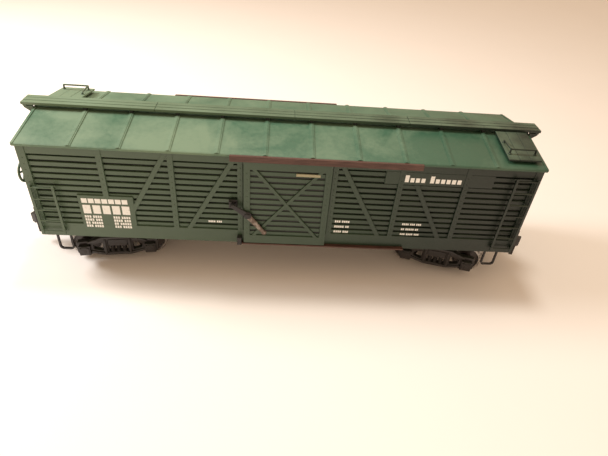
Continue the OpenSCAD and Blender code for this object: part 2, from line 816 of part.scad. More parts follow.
side_wall();  // side_right
rotate([0, 0, 180]) side_wall();  // side_left
end_wall();  // end_a
rotate([0, 0, 180]) end_wall();  // end_b
roof();
floor_plate();  // floor
underframe();
weight();
running_board();
running_board_brackets();
lateral_platform();  // lateral_platform_a
rotate([0, 0, 180]) lateral_platform();  // lateral_platform_b
corner_grab_irons();
upper_track();  // upper_track_right
rotate([0, 0, 180]) upper_track();  // upper_track_left
lower_track();  // lower_track_right
rotate([0, 0, 180]) lower_track();  // lower_track_left
door_stops();
latch_keepers();
side_ladder();  // side_ladder_right
rotate([0, 0, 180]) side_ladder();  // side_ladder_left
short_ladder();  // short_ladder_right
rotate([0, 0, 180]) short_ladder();  // short_ladder_left
end_ladder();  // end_ladder_a
rotate([0, 0, 180]) end_ladder();  // end_ladder_b
sill_steps();
brake_housing();
brake_wheel();
brake_cylinder();
air_reservoir();
control_valve();
kingpins();
sliding_door();  // door_right
rotate([0, 0, 180]) sliding_door();  // door_left
card_board();  // card_board_right
rotate([0, 0, 180]) card_board();  // card_board_left
lever_pin();  // lever_pin_right
rotate([0, 0, 180]) lever_pin();  // lever_pin_left
door_lever();  // door_lever_right
rotate([0, 0, 180]) door_lever();  // door_lever_left
for (end = [1, -1]) {
    name = end > 0 ? "a" : "b";
    at_truck(end) facing_out(end) truck_bolster();
    at_truck(end) sideframe();
    at_truck(end) rotate([0, 0, 180]) sideframe();
    at_truck(end) facing_out(end) coupler_lid();
    at_truck(end) facing_out(end) coupler();
    for (i = [1, 2]) {
        at_wheelset(end, 3 - 2 * i) axle();
        at_wheelset(end, 3 - 2 * i) wheel_pair();
    }
}
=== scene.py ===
import json
import math

import bmesh
import bpy
from bpy.props import FloatProperty, FloatVectorProperty, IntProperty, PointerProperty
from mathutils import Matrix, Vector


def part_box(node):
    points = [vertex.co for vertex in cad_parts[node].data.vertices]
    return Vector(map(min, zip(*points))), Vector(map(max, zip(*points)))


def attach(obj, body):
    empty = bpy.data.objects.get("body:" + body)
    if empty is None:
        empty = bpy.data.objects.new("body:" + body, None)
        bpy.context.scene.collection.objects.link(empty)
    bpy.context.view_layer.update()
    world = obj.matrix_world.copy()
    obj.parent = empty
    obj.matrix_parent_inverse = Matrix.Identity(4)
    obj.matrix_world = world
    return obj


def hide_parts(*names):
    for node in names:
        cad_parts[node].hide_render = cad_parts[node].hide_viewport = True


bl_info = {
    "name": "Slatted Box Car",
    "version": (1, 0, 0),
    "blender": (4, 5, 0),
    "location": "3D View > Sidebar > Box Car",
    "description": "Builds the visible pieces of an HO scale box car around its fixed frame",
    "category": "Add Mesh",
}

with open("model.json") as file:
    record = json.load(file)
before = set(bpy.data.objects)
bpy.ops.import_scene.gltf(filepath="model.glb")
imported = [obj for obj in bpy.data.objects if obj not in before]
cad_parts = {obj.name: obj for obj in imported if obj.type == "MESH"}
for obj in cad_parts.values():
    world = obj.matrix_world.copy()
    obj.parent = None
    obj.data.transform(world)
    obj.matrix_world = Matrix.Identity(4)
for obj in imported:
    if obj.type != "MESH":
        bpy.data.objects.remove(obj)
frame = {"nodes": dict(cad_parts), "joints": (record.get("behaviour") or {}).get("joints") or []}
MM = 0.001
HALF_TURN = Matrix.Rotation(math.pi, 4, "Z")
WHOLE = Matrix.Identity(4)


# ---------------------------------------------------------------- sizes from the frame


def box_mm(node):
    """A frame node's lowest and highest corners, in millimetres."""
    low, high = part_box(node)
    return low / MM, high / MM


def joint(name):
    return next(j for j in frame["joints"] if j["name"] == name)


SIDE_LOW, SIDE_HIGH = box_mm("side_right")
SILL_Z = SIDE_LOW.z
WALL_TOP = SIDE_HIGH.z
END_X = SIDE_HIGH.x
POST_Y = -SIDE_LOW.y
INNER_Y = -SIDE_HIGH.y
ROOF_HIGH = box_mm("roof")[1]
DOOR_LOW, DOOR_HIGH = box_mm("door_right")
WALK_HIGH = box_mm("running_board")[1]
AXLE_Z = joint("wheelset_a1_roll")["pos_m"][2] / MM


# ---------------------------------------------------------------- sizes and colours a user would change


def hex_colour(code):
    """A linear RGBA colour from an sRGB hex code."""
    parts = [int(code[i : i + 2], 16) / 255 for i in (1, 3, 5)]
    return tuple(c / 12.92 if c <= 0.04045 else ((c + 0.055) / 1.055) ** 2.4 for c in parts) + (1.0,)


def length(name, description, millimetres):
    return FloatProperty(
        name=name, description=description, default=millimetres * MM, unit="LENGTH", precision=5
    )


def colour(name, description, code):
    return FloatVectorProperty(
        name=name, description=description, default=hex_colour(code), size=4, subtype="COLOR", min=0, max=1
    )


class BoxcarSizes(bpy.types.PropertyGroup):
    """Sizes of the car's woodwork and fittings"""

    slats: IntProperty(
        name="Slats", description="Rows of slats in each wall and door", default=12, min=6, max=20
    )
    seams: IntProperty(name="Roof seams", description="Seam caps across the roof", default=10, min=4, max=16)
    sill: length("Sill height", "Height of the plain sill below the slats", 4.6)
    fascia: length("Fascia height", "Height of the plain board above the slats", 2.6)
    post: length("Post width", "Width of the upright posts", 1.5)
    corner: length("Corner post width", "Width of the posts at the ends of a side", 2.2)
    brace: length("Brace width", "Width of the diagonal braces", 1.3)
    edge: length("Edge round", "Radius of the moulded edges", 0.07)
    bolt: length("Bolt head radius", "Radius of the bolt heads on the posts", 0.2)
    wire: length("Grab iron radius", "Radius of the wire hand holds", 0.25)


class BoxcarColours(bpy.types.PropertyGroup):
    """Colours of the car's plastics, paints and metals"""

    walls: colour("Walls", "Moulded green of the walls and doors", "#1b3623")
    roof: colour("Roof", "Moulded green of the roof", "#3a634d")
    # The dust colour also serves as painted light, paling the walls, walk and roof towards the B end.
    dust: colour("Dust", "Pale film of dust and faded plastic on what faces up", "#6f856a")
    track: colour("Door tracks", "Red-brown paint of the door tracks", "#4f352c")
    black: colour("Black fittings", "Black plastic of the underframe and steps", "#1c191a")
    truck: colour("Trucks", "Brown-black plastic of the trucks", "#231e1d")
    wheel: colour("Wheels", "Grey-brown plastic of the wheels", "#3c3533")
    lever: colour("Door levers", "Worn paint of the door levers", "#63544a")
    ink: colour("Printing", "Off-white ink of the printed marks", "#f4f6f2")
    card: colour("Card board", "Cream of the board for cards", "#a8a487")
    floor: colour("Floor", "Brown of the plank floor", "#6a5743")
    stand: colour("Floor of the stage", "Pale surface that the car stands on", "#f3eee7")


def sizes():
    return bpy.context.scene.boxcar_sizes


def size(name):
    """A size in millimetres."""
    return getattr(sizes(), name) / MM


def tint(name):
    return tuple(getattr(bpy.context.scene.boxcar_colours, name))


# ---------------------------------------------------------------- nodes


def add(tree, kind, sockets=None, **settings):
    """Adds a node with its settings; a socket takes a value, or the output socket that feeds it."""
    node = tree.nodes.new(kind)
    for name, value in settings.items():
        setattr(node, name, value)
    for name, value in (sockets or {}).items():
        if isinstance(value, bpy.types.NodeSocket):
            tree.links.new(value, node.inputs[name])
        else:
            node.inputs[name].default_value = value
    return node


def new_tree(name, inputs):
    """An empty geometry node tree with a geometry input and output, and other inputs by name and type."""
    tree = bpy.data.node_groups.new(name, "GeometryNodeTree")
    tree.interface.new_socket("Geometry", in_out="INPUT", socket_type="NodeSocketGeometry")
    for label, kind in inputs:
        tree.interface.new_socket(label, in_out="INPUT", socket_type=kind)
    tree.interface.new_socket("Geometry", in_out="OUTPUT", socket_type="NodeSocketGeometry")
    return tree, tree.nodes.new("NodeGroupInput").outputs


def end_tree(tree, instances, material):
    """Ends a tree: real meshes, a random tint for each separate shape, and the material."""
    real = add(tree, "GeometryNodeRealizeInstances", {0: instances})
    island = add(tree, "GeometryNodeInputMeshIsland")
    shade = add(tree, "FunctionNodeRandomValue", {"ID": island.outputs["Island Index"], "Seed": 7})
    stored = add(
        tree,
        "GeometryNodeStoreNamedAttribute",
        {"Geometry": real.outputs[0], "Name": "tint", "Value": shade.outputs[1]},
        data_type="FLOAT",
        domain="POINT",
    )
    coated = add(tree, "GeometryNodeSetMaterial", {"Geometry": stored.outputs[0], "Material": material})
    out = tree.nodes.new("NodeGroupOutput")
    tree.links.new(coated.outputs[0], out.inputs[0])
    return tree


def repeat_tree():
    """Repeats a shape in equal steps and turns about the origin, each copy a little out of place."""
    tree, given = new_tree(
        "Repeated shape",
        [
            ("Count", "NodeSocketInt"),
            ("Step", "NodeSocketVector"),
            ("Turn", "NodeSocketVector"),
            ("Stray", "NodeSocketVector"),
            ("Material", "NodeSocketMaterial"),
        ],
    )
    line = add(tree, "GeometryNodeMeshLine", {"Count": given["Count"], "Offset": given["Step"]})
    back = add(tree, "ShaderNodeVectorMath", {0: given["Stray"], "Scale": -1.0}, operation="SCALE")
    jitter = add(
        tree,
        "FunctionNodeRandomValue",
        {"Min": back.outputs[0], "Max": given["Stray"], "Seed": 3},
        data_type="FLOAT_VECTOR",
    )
    moved = add(tree, "GeometryNodeSetPosition", {"Geometry": line.outputs[0], "Offset": jitter.outputs[0]})
    index = add(tree, "GeometryNodeInputIndex")
    turn = add(
        tree, "ShaderNodeVectorMath", {0: given["Turn"], "Scale": index.outputs[0]}, operation="SCALE"
    )
    copies = add(
        tree,
        "GeometryNodeInstanceOnPoints",
        {"Points": moved.outputs[0], "Instance": given["Geometry"], "Rotation": turn.outputs[0]},
    )
    return end_tree(tree, copies.outputs[0], given["Material"])


def stud_tree():
    """Sets a round head on each point: bolts, rivets and nail heads."""
    tree, given = new_tree(
        "Studs on points",
        [
            ("Radius", "NodeSocketFloat"),
            ("Squash", "NodeSocketVector"),
            ("Material", "NodeSocketMaterial"),
        ],
    )
    head = add(tree, "GeometryNodeMeshUVSphere", {"Segments": 8, "Rings": 5, "Radius": given["Radius"]})
    points = add(tree, "GeometryNodeMeshToPoints", {"Mesh": given["Geometry"]})
    copies = add(
        tree,
        "GeometryNodeInstanceOnPoints",
        {"Points": points.outputs[0], "Instance": head.outputs[0], "Scale": given["Squash"]},
    )
    return end_tree(tree, copies.outputs[0], given["Material"])


def spring_tree():
    """Stands a coil spring on each point."""
    tree, given = new_tree(
        "Coil springs",
        [
            ("Turns", "NodeSocketFloat"),
            ("Radius", "NodeSocketFloat"),
            ("Height", "NodeSocketFloat"),
            ("Wire", "NodeSocketFloat"),
            ("Material", "NodeSocketMaterial"),
        ],
    )
    coil = add(
        tree,
        "GeometryNodeCurveSpiral",
        {
            "Resolution": 20,
            "Rotations": given["Turns"],
            "Start Radius": given["Radius"],
            "End Radius": given["Radius"],
            "Height": given["Height"],
        },
    )
    wire = add(tree, "GeometryNodeCurvePrimitiveCircle", {"Resolution": 7, "Radius": given["Wire"]})
    tube = add(
        tree,
        "GeometryNodeCurveToMesh",
        {"Curve": coil.outputs[0], "Profile Curve": wire.outputs[0], "Fill Caps": True},
    )
    points = add(tree, "GeometryNodeMeshToPoints", {"Mesh": given["Geometry"]})
    copies = add(
        tree, "GeometryNodeInstanceOnPoints", {"Points": points.outputs[0], "Instance": tube.outputs[0]}
    )
    return end_tree(tree, copies.outputs[0], given["Material"])


def shared_tree(name, maker):
    return bpy.data.node_groups.get(name) or maker()


def grow(tree, mesh, values):
    """The plain mesh that a geometry node tree makes of a mesh."""
    base = bpy.data.objects.new("base", mesh)
    bpy.context.scene.collection.objects.link(base)
    modifier = base.modifiers.new("Growth", "NODES")
    modifier.node_group = tree
    for item in tree.interface.items_tree:
        if item.in_out == "INPUT" and item.name in values:
            modifier[item.identifier] = values[item.name]
    graph = bpy.context.evaluated_depsgraph_get()
    made = bpy.data.meshes.new_from_object(
        base.evaluated_get(graph), preserve_all_data_layers=True, depsgraph=graph
    )
    base.modifiers.remove(modifier)
    bpy.data.objects.remove(base)
    return made


# ---------------------------------------------------------------- shapes, in millimetres


def block(bm, low, high):
    """A box between two corners."""
    centre = (Vector(low) + Vector(high)) / 2
    extent = Vector(high) - Vector(low)
    bmesh.ops.create_cube(bm, size=1, matrix=Matrix.Translation(centre) @ Matrix.Diagonal((*extent, 1)))


def prism(bm, outline, start, end, axis="y"):
    """A solid with a flat outline: (x, z) pushed along y, (y, z) along x, or (x, y) along z."""
    place = {
        "x": lambda p, d: (d, p[0], p[1]),
        "y": lambda p, d: (p[0], d, p[1]),
        "z": lambda p, d: (p[0], p[1], d),
    }[axis]
    near = [bm.verts.new(place(p, start)) for p in outline]
    far = [bm.verts.new(place(p, end)) for p in outline]
    bm.faces.new(near)
    bm.faces.new(far[::-1])
    for i in range(len(outline)):
        k = (i + 1) % len(outline)
        bm.faces.new((near[k], near[i], far[i], far[k]))


def grid_plate(bm, xs, zs, holes, start, end):
    """A plate in x and z with rectangular holes, given by their cells in the grid of xs and zs."""
    solid = {(i, k) for i in range(len(xs) - 1) for k in range(len(zs) - 1)} - set(holes)
    points = {}

    def at(i, k, y):
        key = (i, k, y)
        if key not in points:
            points[key] = bm.verts.new((xs[i], y, zs[k]))
        return points[key]

    for i, k in solid:
        ring = [(i, k), (i + 1, k), (i + 1, k + 1), (i, k + 1)]
        bm.faces.new([at(*c, start) for c in ring])
        bm.faces.new([at(*c, end) for c in reversed(ring)])
        beyond = [(i, k - 1), (i + 1, k), (i, k + 1), (i - 1, k)]
        for side, cell in enumerate(beyond):
            if cell not in solid:
                a, b = ring[side], ring[(side + 1) % 4]
                bm.faces.new([at(*b, start), at(*a, start), at(*a, end), at(*b, end)])


def rounded(path, radius, steps=5):
    """A path with its inner corners rounded off."""
    path = [Vector(p) for p in path]
    out = [path[0]]
    for before, here, after in zip(path, path[1:], path[2:]):
        to_before = (before - here).normalized()
        to_after = (after - here).normalized()
        half = to_before.angle(to_after) / 2
        back = radius / math.tan(half)
        centre = here + (to_before + to_after).normalized() * radius / math.sin(half)
        first = here + to_before * back
        last = here + to_after * back
        for i in range(steps + 1):
            spoke = (first - centre).lerp(last - centre, i / steps).normalized()
            out.append(centre + spoke * radius)
    out.append(path[-1])
    return out


def sweep(bm, path, ring, up):
    """A closed ring of (across, up) points carried along a path; up is a direction off the path's plane."""
    rows = []
    for i, here in enumerate(path):
        ahead = (path[min(i + 1, len(path) - 1)] - here).normalized()
        behind = (here - path[max(i - 1, 0)]).normalized()
        along = (ahead + behind).normalized()
        across = along.cross(Vector(up)).normalized()
        stretch = 1.0
        if 0 < i < len(path) - 1:
            stretch = 1 / max(0.5, along.dot(ahead))
        rise = across.cross(along).normalized()
        rows.append([bm.verts.new(here + across * u * stretch + rise * v) for u, v in ring])
    for a, b in zip(rows, rows[1:]):
        for i in range(len(ring)):
            k = (i + 1) % len(ring)
            bm.faces.new((a[i], a[k], b[k], b[i]))
    bm.faces.new(rows[0][::-1])
    bm.faces.new(rows[-1])


def circle(radius, sides):
    return [
        (radius * math.cos(math.tau * i / sides), radius * math.sin(math.tau * i / sides))
        for i in range(sides)
    ]


def tube(bm, path, radius, up=(0, 0, 1), sides=10):
    sweep(bm, [Vector(p) for p in path], circle(radius, sides), up)


def lathe(bm, profile, steps, place=WHOLE):
    """A turned solid about local Z; profile is (radius, height) from one pole to the other."""
    rows = []
    for radius, height in profile:
        if radius < 1e-6:
            rows.append([bm.verts.new(place @ Vector((0, 0, height)))])
        else:
            rows.append([bm.verts.new(place @ Vector((x, y, height))) for x, y in circle(radius, steps)])
    for a, b in zip(rows, rows[1:]):
        for i in range(steps):
            k = (i + 1) % steps
            corners = [a[i % len(a)], a[k % len(a)], b[k % len(b)], b[i % len(b)]]
            unique = list(dict.fromkeys(corners))
            if len(unique) > 2:
                bm.faces.new(unique)


def ring_lathe(bm, profile, steps, place=WHOLE):
    """A turned ring about local Z; profile is a closed outline of (radius, height)."""
    rows = [[bm.verts.new(place @ Vector((x, y, h))) for x, y in circle(r, steps)] for r, h in profile]
    for a, b in zip(rows, rows[1:] + rows[:1]):
        for i in range(steps):
            k = (i + 1) % steps
            bm.faces.new((a[i], a[k], b[k], b[i]))


def mesh_of(bm, name, place=WHOLE):
    """Ends a shape: doubles merged, faces outward, in metres at its place."""
    bmesh.ops.remove_doubles(bm, verts=bm.verts, dist=1e-4)
    bmesh.ops.recalc_face_normals(bm, faces=bm.faces)
    bm.transform(Matrix.Scale(MM, 4) @ place)
    mesh = bpy.data.meshes.new(name)
    bm.to_mesh(mesh)
    bm.free()
    return mesh


def points_mesh(points):
    """A mesh of loose points, in metres, for shapes to be set on."""
    mesh = bpy.data.meshes.new("points")
    mesh.from_pydata([Vector(p) * MM for p in points], [], [])
    return mesh


def in_place(place):
    """A placing matrix in millimetres turned into one for a mesh that is already in metres."""
    return Matrix.Scale(MM, 4) @ place @ Matrix.Scale(1 / MM, 4)


def piece(name, mesh, material, body, nodes=(), bevel=None, smooth=35):
    """Makes a finished mesh into a piece that rides on a body and stands for frame nodes."""
    thing = bpy.data.objects.new(name, mesh)
    bpy.context.scene.collection.objects.link(thing)
    if material is not None:
        mesh.materials.clear()
        mesh.materials.append(material)
    for face in mesh.polygons:
        face.use_smooth = True
    mesh.set_sharp_from_angle(angle=math.radians(smooth))
    if bevel:
        rounding = thing.modifiers.new("Moulded edges", "BEVEL")
        rounding.width = bevel * MM
        rounding.segments = 2
        rounding.limit_method = "ANGLE"
        rounding.angle_limit = math.radians(40)
        rounding.harden_normals = True
    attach(thing, body)
    if nodes:
        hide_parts(*nodes)
    return thing


def turned_mesh(mesh, place):
    """A mesh that is already in metres, moved to its place."""
    mesh.transform(in_place(place))
    return mesh


def refined(node, material, body, bevel=0.06):
    """A frame node's own shape, joined up and with its edges rounded, in place of the node."""
    bm = bmesh.new()
    bm.from_mesh(frame["nodes"][node].data)
    bmesh.ops.remove_doubles(bm, verts=bm.verts, dist=1e-6)
    bmesh.ops.dissolve_limit(bm, angle_limit=math.radians(1.5), verts=bm.verts, edges=bm.edges)
    mesh = bpy.data.meshes.new(node + "_shape")
    bm.to_mesh(mesh)
    bm.free()
    return piece(node + "_shape", mesh, material, body, [node], bevel=bevel)


def flat_part(outlines, thickness, edge):
    """A flat plate of closed (x, z) outlines, the later ones holes, centred on y = 0, with rounded edges."""
    curve = bpy.data.curves.new("outline", "CURVE")
    curve.dimensions = "2D"
    curve.fill_mode = "BOTH"
    curve.extrude = max(thickness / 2 - edge, 0.01)
    curve.bevel_depth = edge
    curve.bevel_resolution = 1
    curve.offset = -edge
    for outline in outlines:
        spline = curve.splines.new("POLY")
        spline.points.add(len(outline) - 1)
        for point, (x, z) in zip(spline.points, outline):
            point.co = (x, z, 0, 1)
        spline.use_cyclic_u = True
    holder = bpy.data.objects.new("outline", curve)
    bpy.context.scene.collection.objects.link(holder)
    graph = bpy.context.evaluated_depsgraph_get()
    mesh = bpy.data.meshes.new_from_object(holder.evaluated_get(graph), depsgraph=graph)
    bpy.data.objects.remove(holder)
    bm = bmesh.new()
    bm.from_mesh(mesh)
    bpy.data.meshes.remove(mesh)
    bmesh.ops.remove_doubles(bm, verts=bm.verts, dist=1e-4)
    bm.transform(Matrix.Rotation(math.pi / 2, 4, "X"))
    bmesh.ops.recalc_face_normals(bm, faces=bm.faces)
    return bm


def merge_into(bm, other, place=WHOLE):
    """Adds one shape to another."""
    other.transform(place)
    mesh = bpy.data.meshes.new("part")
    other.to_mesh(mesh)
    other.free()
    bm.from_mesh(mesh)
    bpy.data.meshes.remove(mesh)


def loop(corners, radius, steps=4):
    """A closed outline with rounded corners."""
    count = len(corners)
    path = [corners[i % count] for i in range(-1, count + 1)]
    points = rounded([(x, z, 0) for x, z in path], radius, steps)[1:-1]
    return [(p.x, p.y) for p in points]


# ---------------------------------------------------------------- materials


def per_mm(millimetres):
    """The texture scale whose pattern repeats at this real size."""
    return 1 / (millimetres * MM)


def new_material(name):
    material = bpy.data.materials.new(name)
    material.use_nodes = True
    material.node_tree.nodes.clear()
    return material, material.node_tree


def finish_material(tree, base, roughness, height, depth_mm, **fixed):
    """The shader at the end of a material; fixed sockets are set on it by name."""
    bump = add(
        tree, "ShaderNodeBump", {"Height": height, "Distance": depth_mm * MM, "Strength": 1.0}
    )
    shader = add(
        tree,
        "ShaderNodeBsdfPrincipled",
        {"Base Color": base, "Roughness": roughness, "Normal": bump.outputs[0]},
    )
    for name, value in fixed.items():
        shader.inputs[name.replace("_", " ")].default_value = value
    out = tree.nodes.new("ShaderNodeOutputMaterial")
    tree.links.new(shader.outputs[0], out.inputs["Surface"])


def shaded(rgba, factor):
    return (rgba[0] * factor, rgba[1] * factor, rgba[2] * factor, 1.0)


def mixed(tree, factor, first, second):
    """The colour output of a mix between two colours."""
    return add(
        tree, "ShaderNodeMix", {"Factor": factor, 6: first, 7: second}, data_type="RGBA"
    ).outputs[2]


def banded(tree, value, low, high, to_low=0.0, to_high=1.0):
    """A value stretched from one range to another and clamped."""
    return add(
        tree,
        "ShaderNodeMapRange",
        {"Value": value, "From Min": low, "From Max": high, "To Min": to_low, "To Max": to_high},
    ).outputs[0]


def sums(tree, operation, first, second):
    return add(tree, "ShaderNodeMath", {0: first, 1: second}, operation=operation, use_clamp=True).outputs[0]


def moulded_plastic(name, base, spread=0.12, gloss=0.42, grain_mm=0.6, dust=0.0, dust_mm=9.0, light_falloff=0.0):
    """Moulded plastic: mottle, faint grain, dust on top; with a light fall-off set, painted light pales the
    B end and painted shade darkens the A end.
    """
    material, tree = new_material(name)
    place = add(tree, "ShaderNodeTexCoord")
    where = place.outputs["Object"]
    fine = add(tree, "ShaderNodeTexNoise", {"Vector": where, "Scale": per_mm(grain_mm), "Detail": 4.0})
    broad = add(tree, "ShaderNodeTexNoise", {"Vector": where, "Scale": per_mm(dust_mm), "Detail": 6.0})
    shape_tint = add(tree, "ShaderNodeAttribute", attribute_name="tint")
    mottle = add(
        tree,
        "ShaderNodeMath",
        {0: broad.outputs["Fac"], 1: 0.8, 2: shape_tint.outputs["Fac"]},
        operation="MULTIPLY_ADD",
    )
    tone = banded(tree, mottle.outputs[0], 0.2, 1.2)
    body = mixed(tree, tone, shaded(base, 1 - spread), shaded(base, 1 + spread))
    split = add(tree, "ShaderNodeSeparateXYZ", {0: place.outputs["Normal"]})
    upward = banded(tree, split.outputs["Z"], 0.35, 1.0)
    patches = banded(tree, broad.outputs["Fac"], 0.38, 0.62)
    film = sums(tree, "MULTIPLY", upward, patches)
    film = sums(tree, "MULTIPLY", film, dust)
    axes = add(tree, "ShaderNodeSeparateXYZ", {0: where})
    # Painted shade darkens the colour towards the A end, and painted light pales it towards the B end, in
    # place of the lamp's fall-off along the car.
    a_end_shade = 0.95 if light_falloff else 0.0
    shade_towards_a = banded(tree, axes.outputs["X"], 0.1 * END_X * MM, 0.8 * END_X * MM, 0.0, a_end_shade)
    a_end_shaded = mixed(tree, shade_towards_a, body, shaded(base, 0.3))
    light_towards_b = banded(tree, axes.outputs["X"], -END_X * MM, 0.6 * END_X * MM, light_falloff, 0.0)
    lit_towards_b = mixed(tree, light_towards_b, a_end_shaded, tint("dust"))
    dusty = mixed(tree, film, lit_towards_b, tint("dust"))
    sheen = banded(tree, fine.outputs["Fac"], 0.3, 0.7, gloss - 0.05, gloss + 0.08)
    dull = sums(tree, "ADD", sheen, sums(tree, "MULTIPLY", film, 0.35))
    finish_material(tree, dusty, dull, fine.outputs["Fac"], 0.012, IOR=1.57)
    return material


def wall_styrene():
    """Green polystyrene of the walls: satin, a little mottled, with dust along the ledges of the slats,
    paler towards the B end and darker towards the A end as painted light and shade.
    """
    return moulded_plastic("Moulded polystyrene, wall green", tint("walls"), dust=0.3, dust_mm=7, light_falloff=0.42)


def painted_shade_styrene():
    """Painted shade: the wall green darkened to near black down between the slats and under the walk, where
    no dusting reaches; dull.
    """
    return moulded_plastic(
        "Moulded polystyrene, deep green", shaded(tint("walls"), 0.14), gloss=0.6, dust_mm=7
    )


def walk_styrene():
    """The same green on the roof walk and platforms: paled by dust, lightened as painted light on these
    upward boards, and paler towards the B end and darker towards the A end as painted light and shade.
    """
    return moulded_plastic(
        "Moulded polystyrene, walk green", shaded(tint("walls"), 1.3), dust=0.5, dust_mm=16, light_falloff=0.85
    )


def black_styrene():
    """Black polystyrene of the underframe, steps and latches: duller, with grey dust on its tops."""
    return moulded_plastic("Moulded polystyrene, black", tint("black"), spread=0.2, gloss=0.5, dust=0.1)


def truck_acetal():
    """Brown-black acetal of the trucks: waxy, slightly browned, with a little dust on what faces up."""
    return moulded_plastic("Moulded acetal, truck black", tint("truck"), spread=0.3, gloss=0.38, dust=0.12)


def wheel_acetal():
    """Grey-brown acetal of the wheels, waxy where the mould was polished."""
    return moulded_plastic("Moulded acetal, wheel grey", tint("wheel"), spread=0.2, gloss=0.34, grain_mm=0.4)


def plank_floor():
    """Moulded plank floor: brown, with a dark joint between planks and a grain along them."""
    material, tree = new_material("Moulded plank floor")
    where = add(tree, "ShaderNodeTexCoord").outputs["Object"]
    stretched = add(tree, "ShaderNodeMapping", {"Vector": where, "Scale": (1.0, 0.12, 1.0)})
    grain = add(
        tree, "ShaderNodeTexNoise", {"Vector": stretched.outputs[0], "Scale": per_mm(0.5), "Detail": 6.0}
    )
    joints = add(
        tree,
        "ShaderNodeTexWave",
        {"Vector": where, "Scale": per_mm(2.0) / math.tau},
        bands_direction="X",
        wave_profile="SAW",
    )
    gap = banded(tree, joints.outputs["Fac"], 0.0, 0.12)
    wood = mixed(tree, grain.outputs["Fac"], shaded(tint("floor"), 0.7), shaded(tint("floor"), 1.25))
    boards = mixed(tree, gap, shaded(tint("floor"), 0.3), wood)
    rough = banded(tree, grain.outputs["Fac"], 0.0, 1.0, 0.55, 0.8)
    height = sums(tree, "MULTIPLY", gap, banded(tree, grain.outputs["Fac"], 0, 1, 0.7, 1.0))
    finish_material(tree, boards, rough, height, 0.08)
    return material


def roof_styrene():
    """Brighter green polystyrene of the roof: a patchy pale film of dust over it, more film towards the B
    end as painted light, and painted shade darkening it towards the A end.
    """
    material, tree = new_material("Moulded polystyrene, dusty roof green")
    place = add(tree, "ShaderNodeTexCoord")
    where = place.outputs["Object"]
    clouds = add(
        tree,
        "ShaderNodeTexNoise",
        {"Vector": where, "Scale": per_mm(17), "Detail": 5.0, "Roughness": 0.55, "Distortion": 0.6},
    )
    specks = add(tree, "ShaderNodeTexNoise", {"Vector": where, "Scale": per_mm(1.2), "Detail": 5.0})
    grain = add(tree, "ShaderNodeTexNoise", {"Vector": where, "Scale": per_mm(0.5), "Detail": 3.0})
    axes = add(tree, "ShaderNodeSeparateXYZ", {0: where})
    # Painted light: more of the pale film towards the B end, where the lamp falls strongest.
    film_light_towards_b = banded(tree, axes.outputs["X"], -END_X * MM, END_X * MM, 0.12, -0.1)
    cover = add(tree, "ShaderNodeMath", {0: clouds.outputs["Fac"], 1: film_light_towards_b}, operation="ADD").outputs[0]
    cover = add(
        tree,
        "ShaderNodeMath",
        {0: cover, 1: banded(tree, specks.outputs["Fac"], 0.3, 0.7, -0.04, 0.04)},
        operation="ADD",
    ).outputs[0]
    film = banded(tree, cover, 0.38, 0.72, 0.05, 0.9)
    clean = mixed(tree, specks.outputs["Fac"], shaded(tint("roof"), 0.82), shaded(tint("roof"), 1.12))
    # Painted shade: a darker green, and less of the film, towards the A end.
    shade_towards_a = banded(tree, axes.outputs["X"], 0.3 * END_X * MM, END_X * MM, 0.0, 0.75)
    a_end_shaded = mixed(tree, shade_towards_a, clean, shaded(tint("walls"), 1.3))
    film_in_a_end_shade = banded(tree, shade_towards_a, 0.0, 0.75, 1.0, 0.4)
    base = mixed(tree, sums(tree, "MULTIPLY", film, film_in_a_end_shade), a_end_shaded, tint("dust"))
    rough = banded(tree, film, 0.0, 1.0, 0.36, 0.72)
    finish_material(tree, base, rough, grain.outputs["Fac"], 0.012, IOR=1.57)
    return material


def painted_strip():
    """Pressed metal strip under matt red-brown paint, rubbed thinner in streaks along it."""
    material, tree = new_material("Painted strip, red-brown")
    where = add(tree, "ShaderNodeTexCoord").outputs["Object"]
    along = add(tree, "ShaderNodeMapping", {"Vector": where, "Scale": (0.15, 1.0, 1.0)})
    streaks = add(
        tree, "ShaderNodeTexNoise", {"Vector": along.outputs[0], "Scale": per_mm(0.8), "Detail": 5.0}
    )
    rubbed = banded(tree, streaks.outputs["Fac"], 0.35, 0.75)
    base = mixed(tree, rubbed, shaded(tint("track"), 0.75), shaded(tint("track"), 1.5))
    rough = banded(tree, streaks.outputs["Fac"], 0.3, 0.7, 0.6, 0.42)
    finish_material(tree, base, rough, streaks.outputs["Fac"], 0.015)
    return material


def worn_lever_paint():
    """Brown-grey paint on the levers, worn to bare metal in small patches."""
    material, tree = new_material("Worn painted lever")
    where = add(tree, "ShaderNodeTexCoord").outputs["Object"]
    wear = add(tree, "ShaderNodeTexNoise", {"Vector": where, "Scale": per_mm(1.1), "Detail": 6.0})
    bare = banded(tree, wear.outputs["Fac"], 0.52, 0.66)
    base = mixed(tree, bare, tint("lever"), hex_colour("#9c938a"))
    rough = banded(tree, bare, 0, 1, 0.55, 0.35)
    finish_material(tree, base, rough, wear.outputs["Fac"], 0.02)
    return material


def plain_steel():
    """Drawn and cut steel of the axles, weight and pins: grey, with fine marks along it and some oxide."""
    material, tree = new_material("Drawn steel")
    where = add(tree, "ShaderNodeTexCoord").outputs["Object"]
    along = add(tree, "ShaderNodeMapping", {"Vector": where, "Scale": (0.1, 1.0, 1.0)})
    marks = add(
        tree, "ShaderNodeTexNoise", {"Vector": along.outputs[0], "Scale": per_mm(0.25), "Detail": 4.0}
    )
    stain = add(tree, "ShaderNodeTexNoise", {"Vector": where, "Scale": per_mm(5), "Detail": 4.0})
    oxide = banded(tree, stain.outputs["Fac"], 0.5, 0.75, 0, 0.5)
    base = mixed(tree, oxide, hex_colour("#a3a4a6"), hex_colour("#6f665e"))
    rough = banded(tree, marks.outputs["Fac"], 0.3, 0.7, 0.28, 0.45)
    finish_material(tree, base, rough, marks.outputs["Fac"], 0.006, Metallic=1.0)
    return material


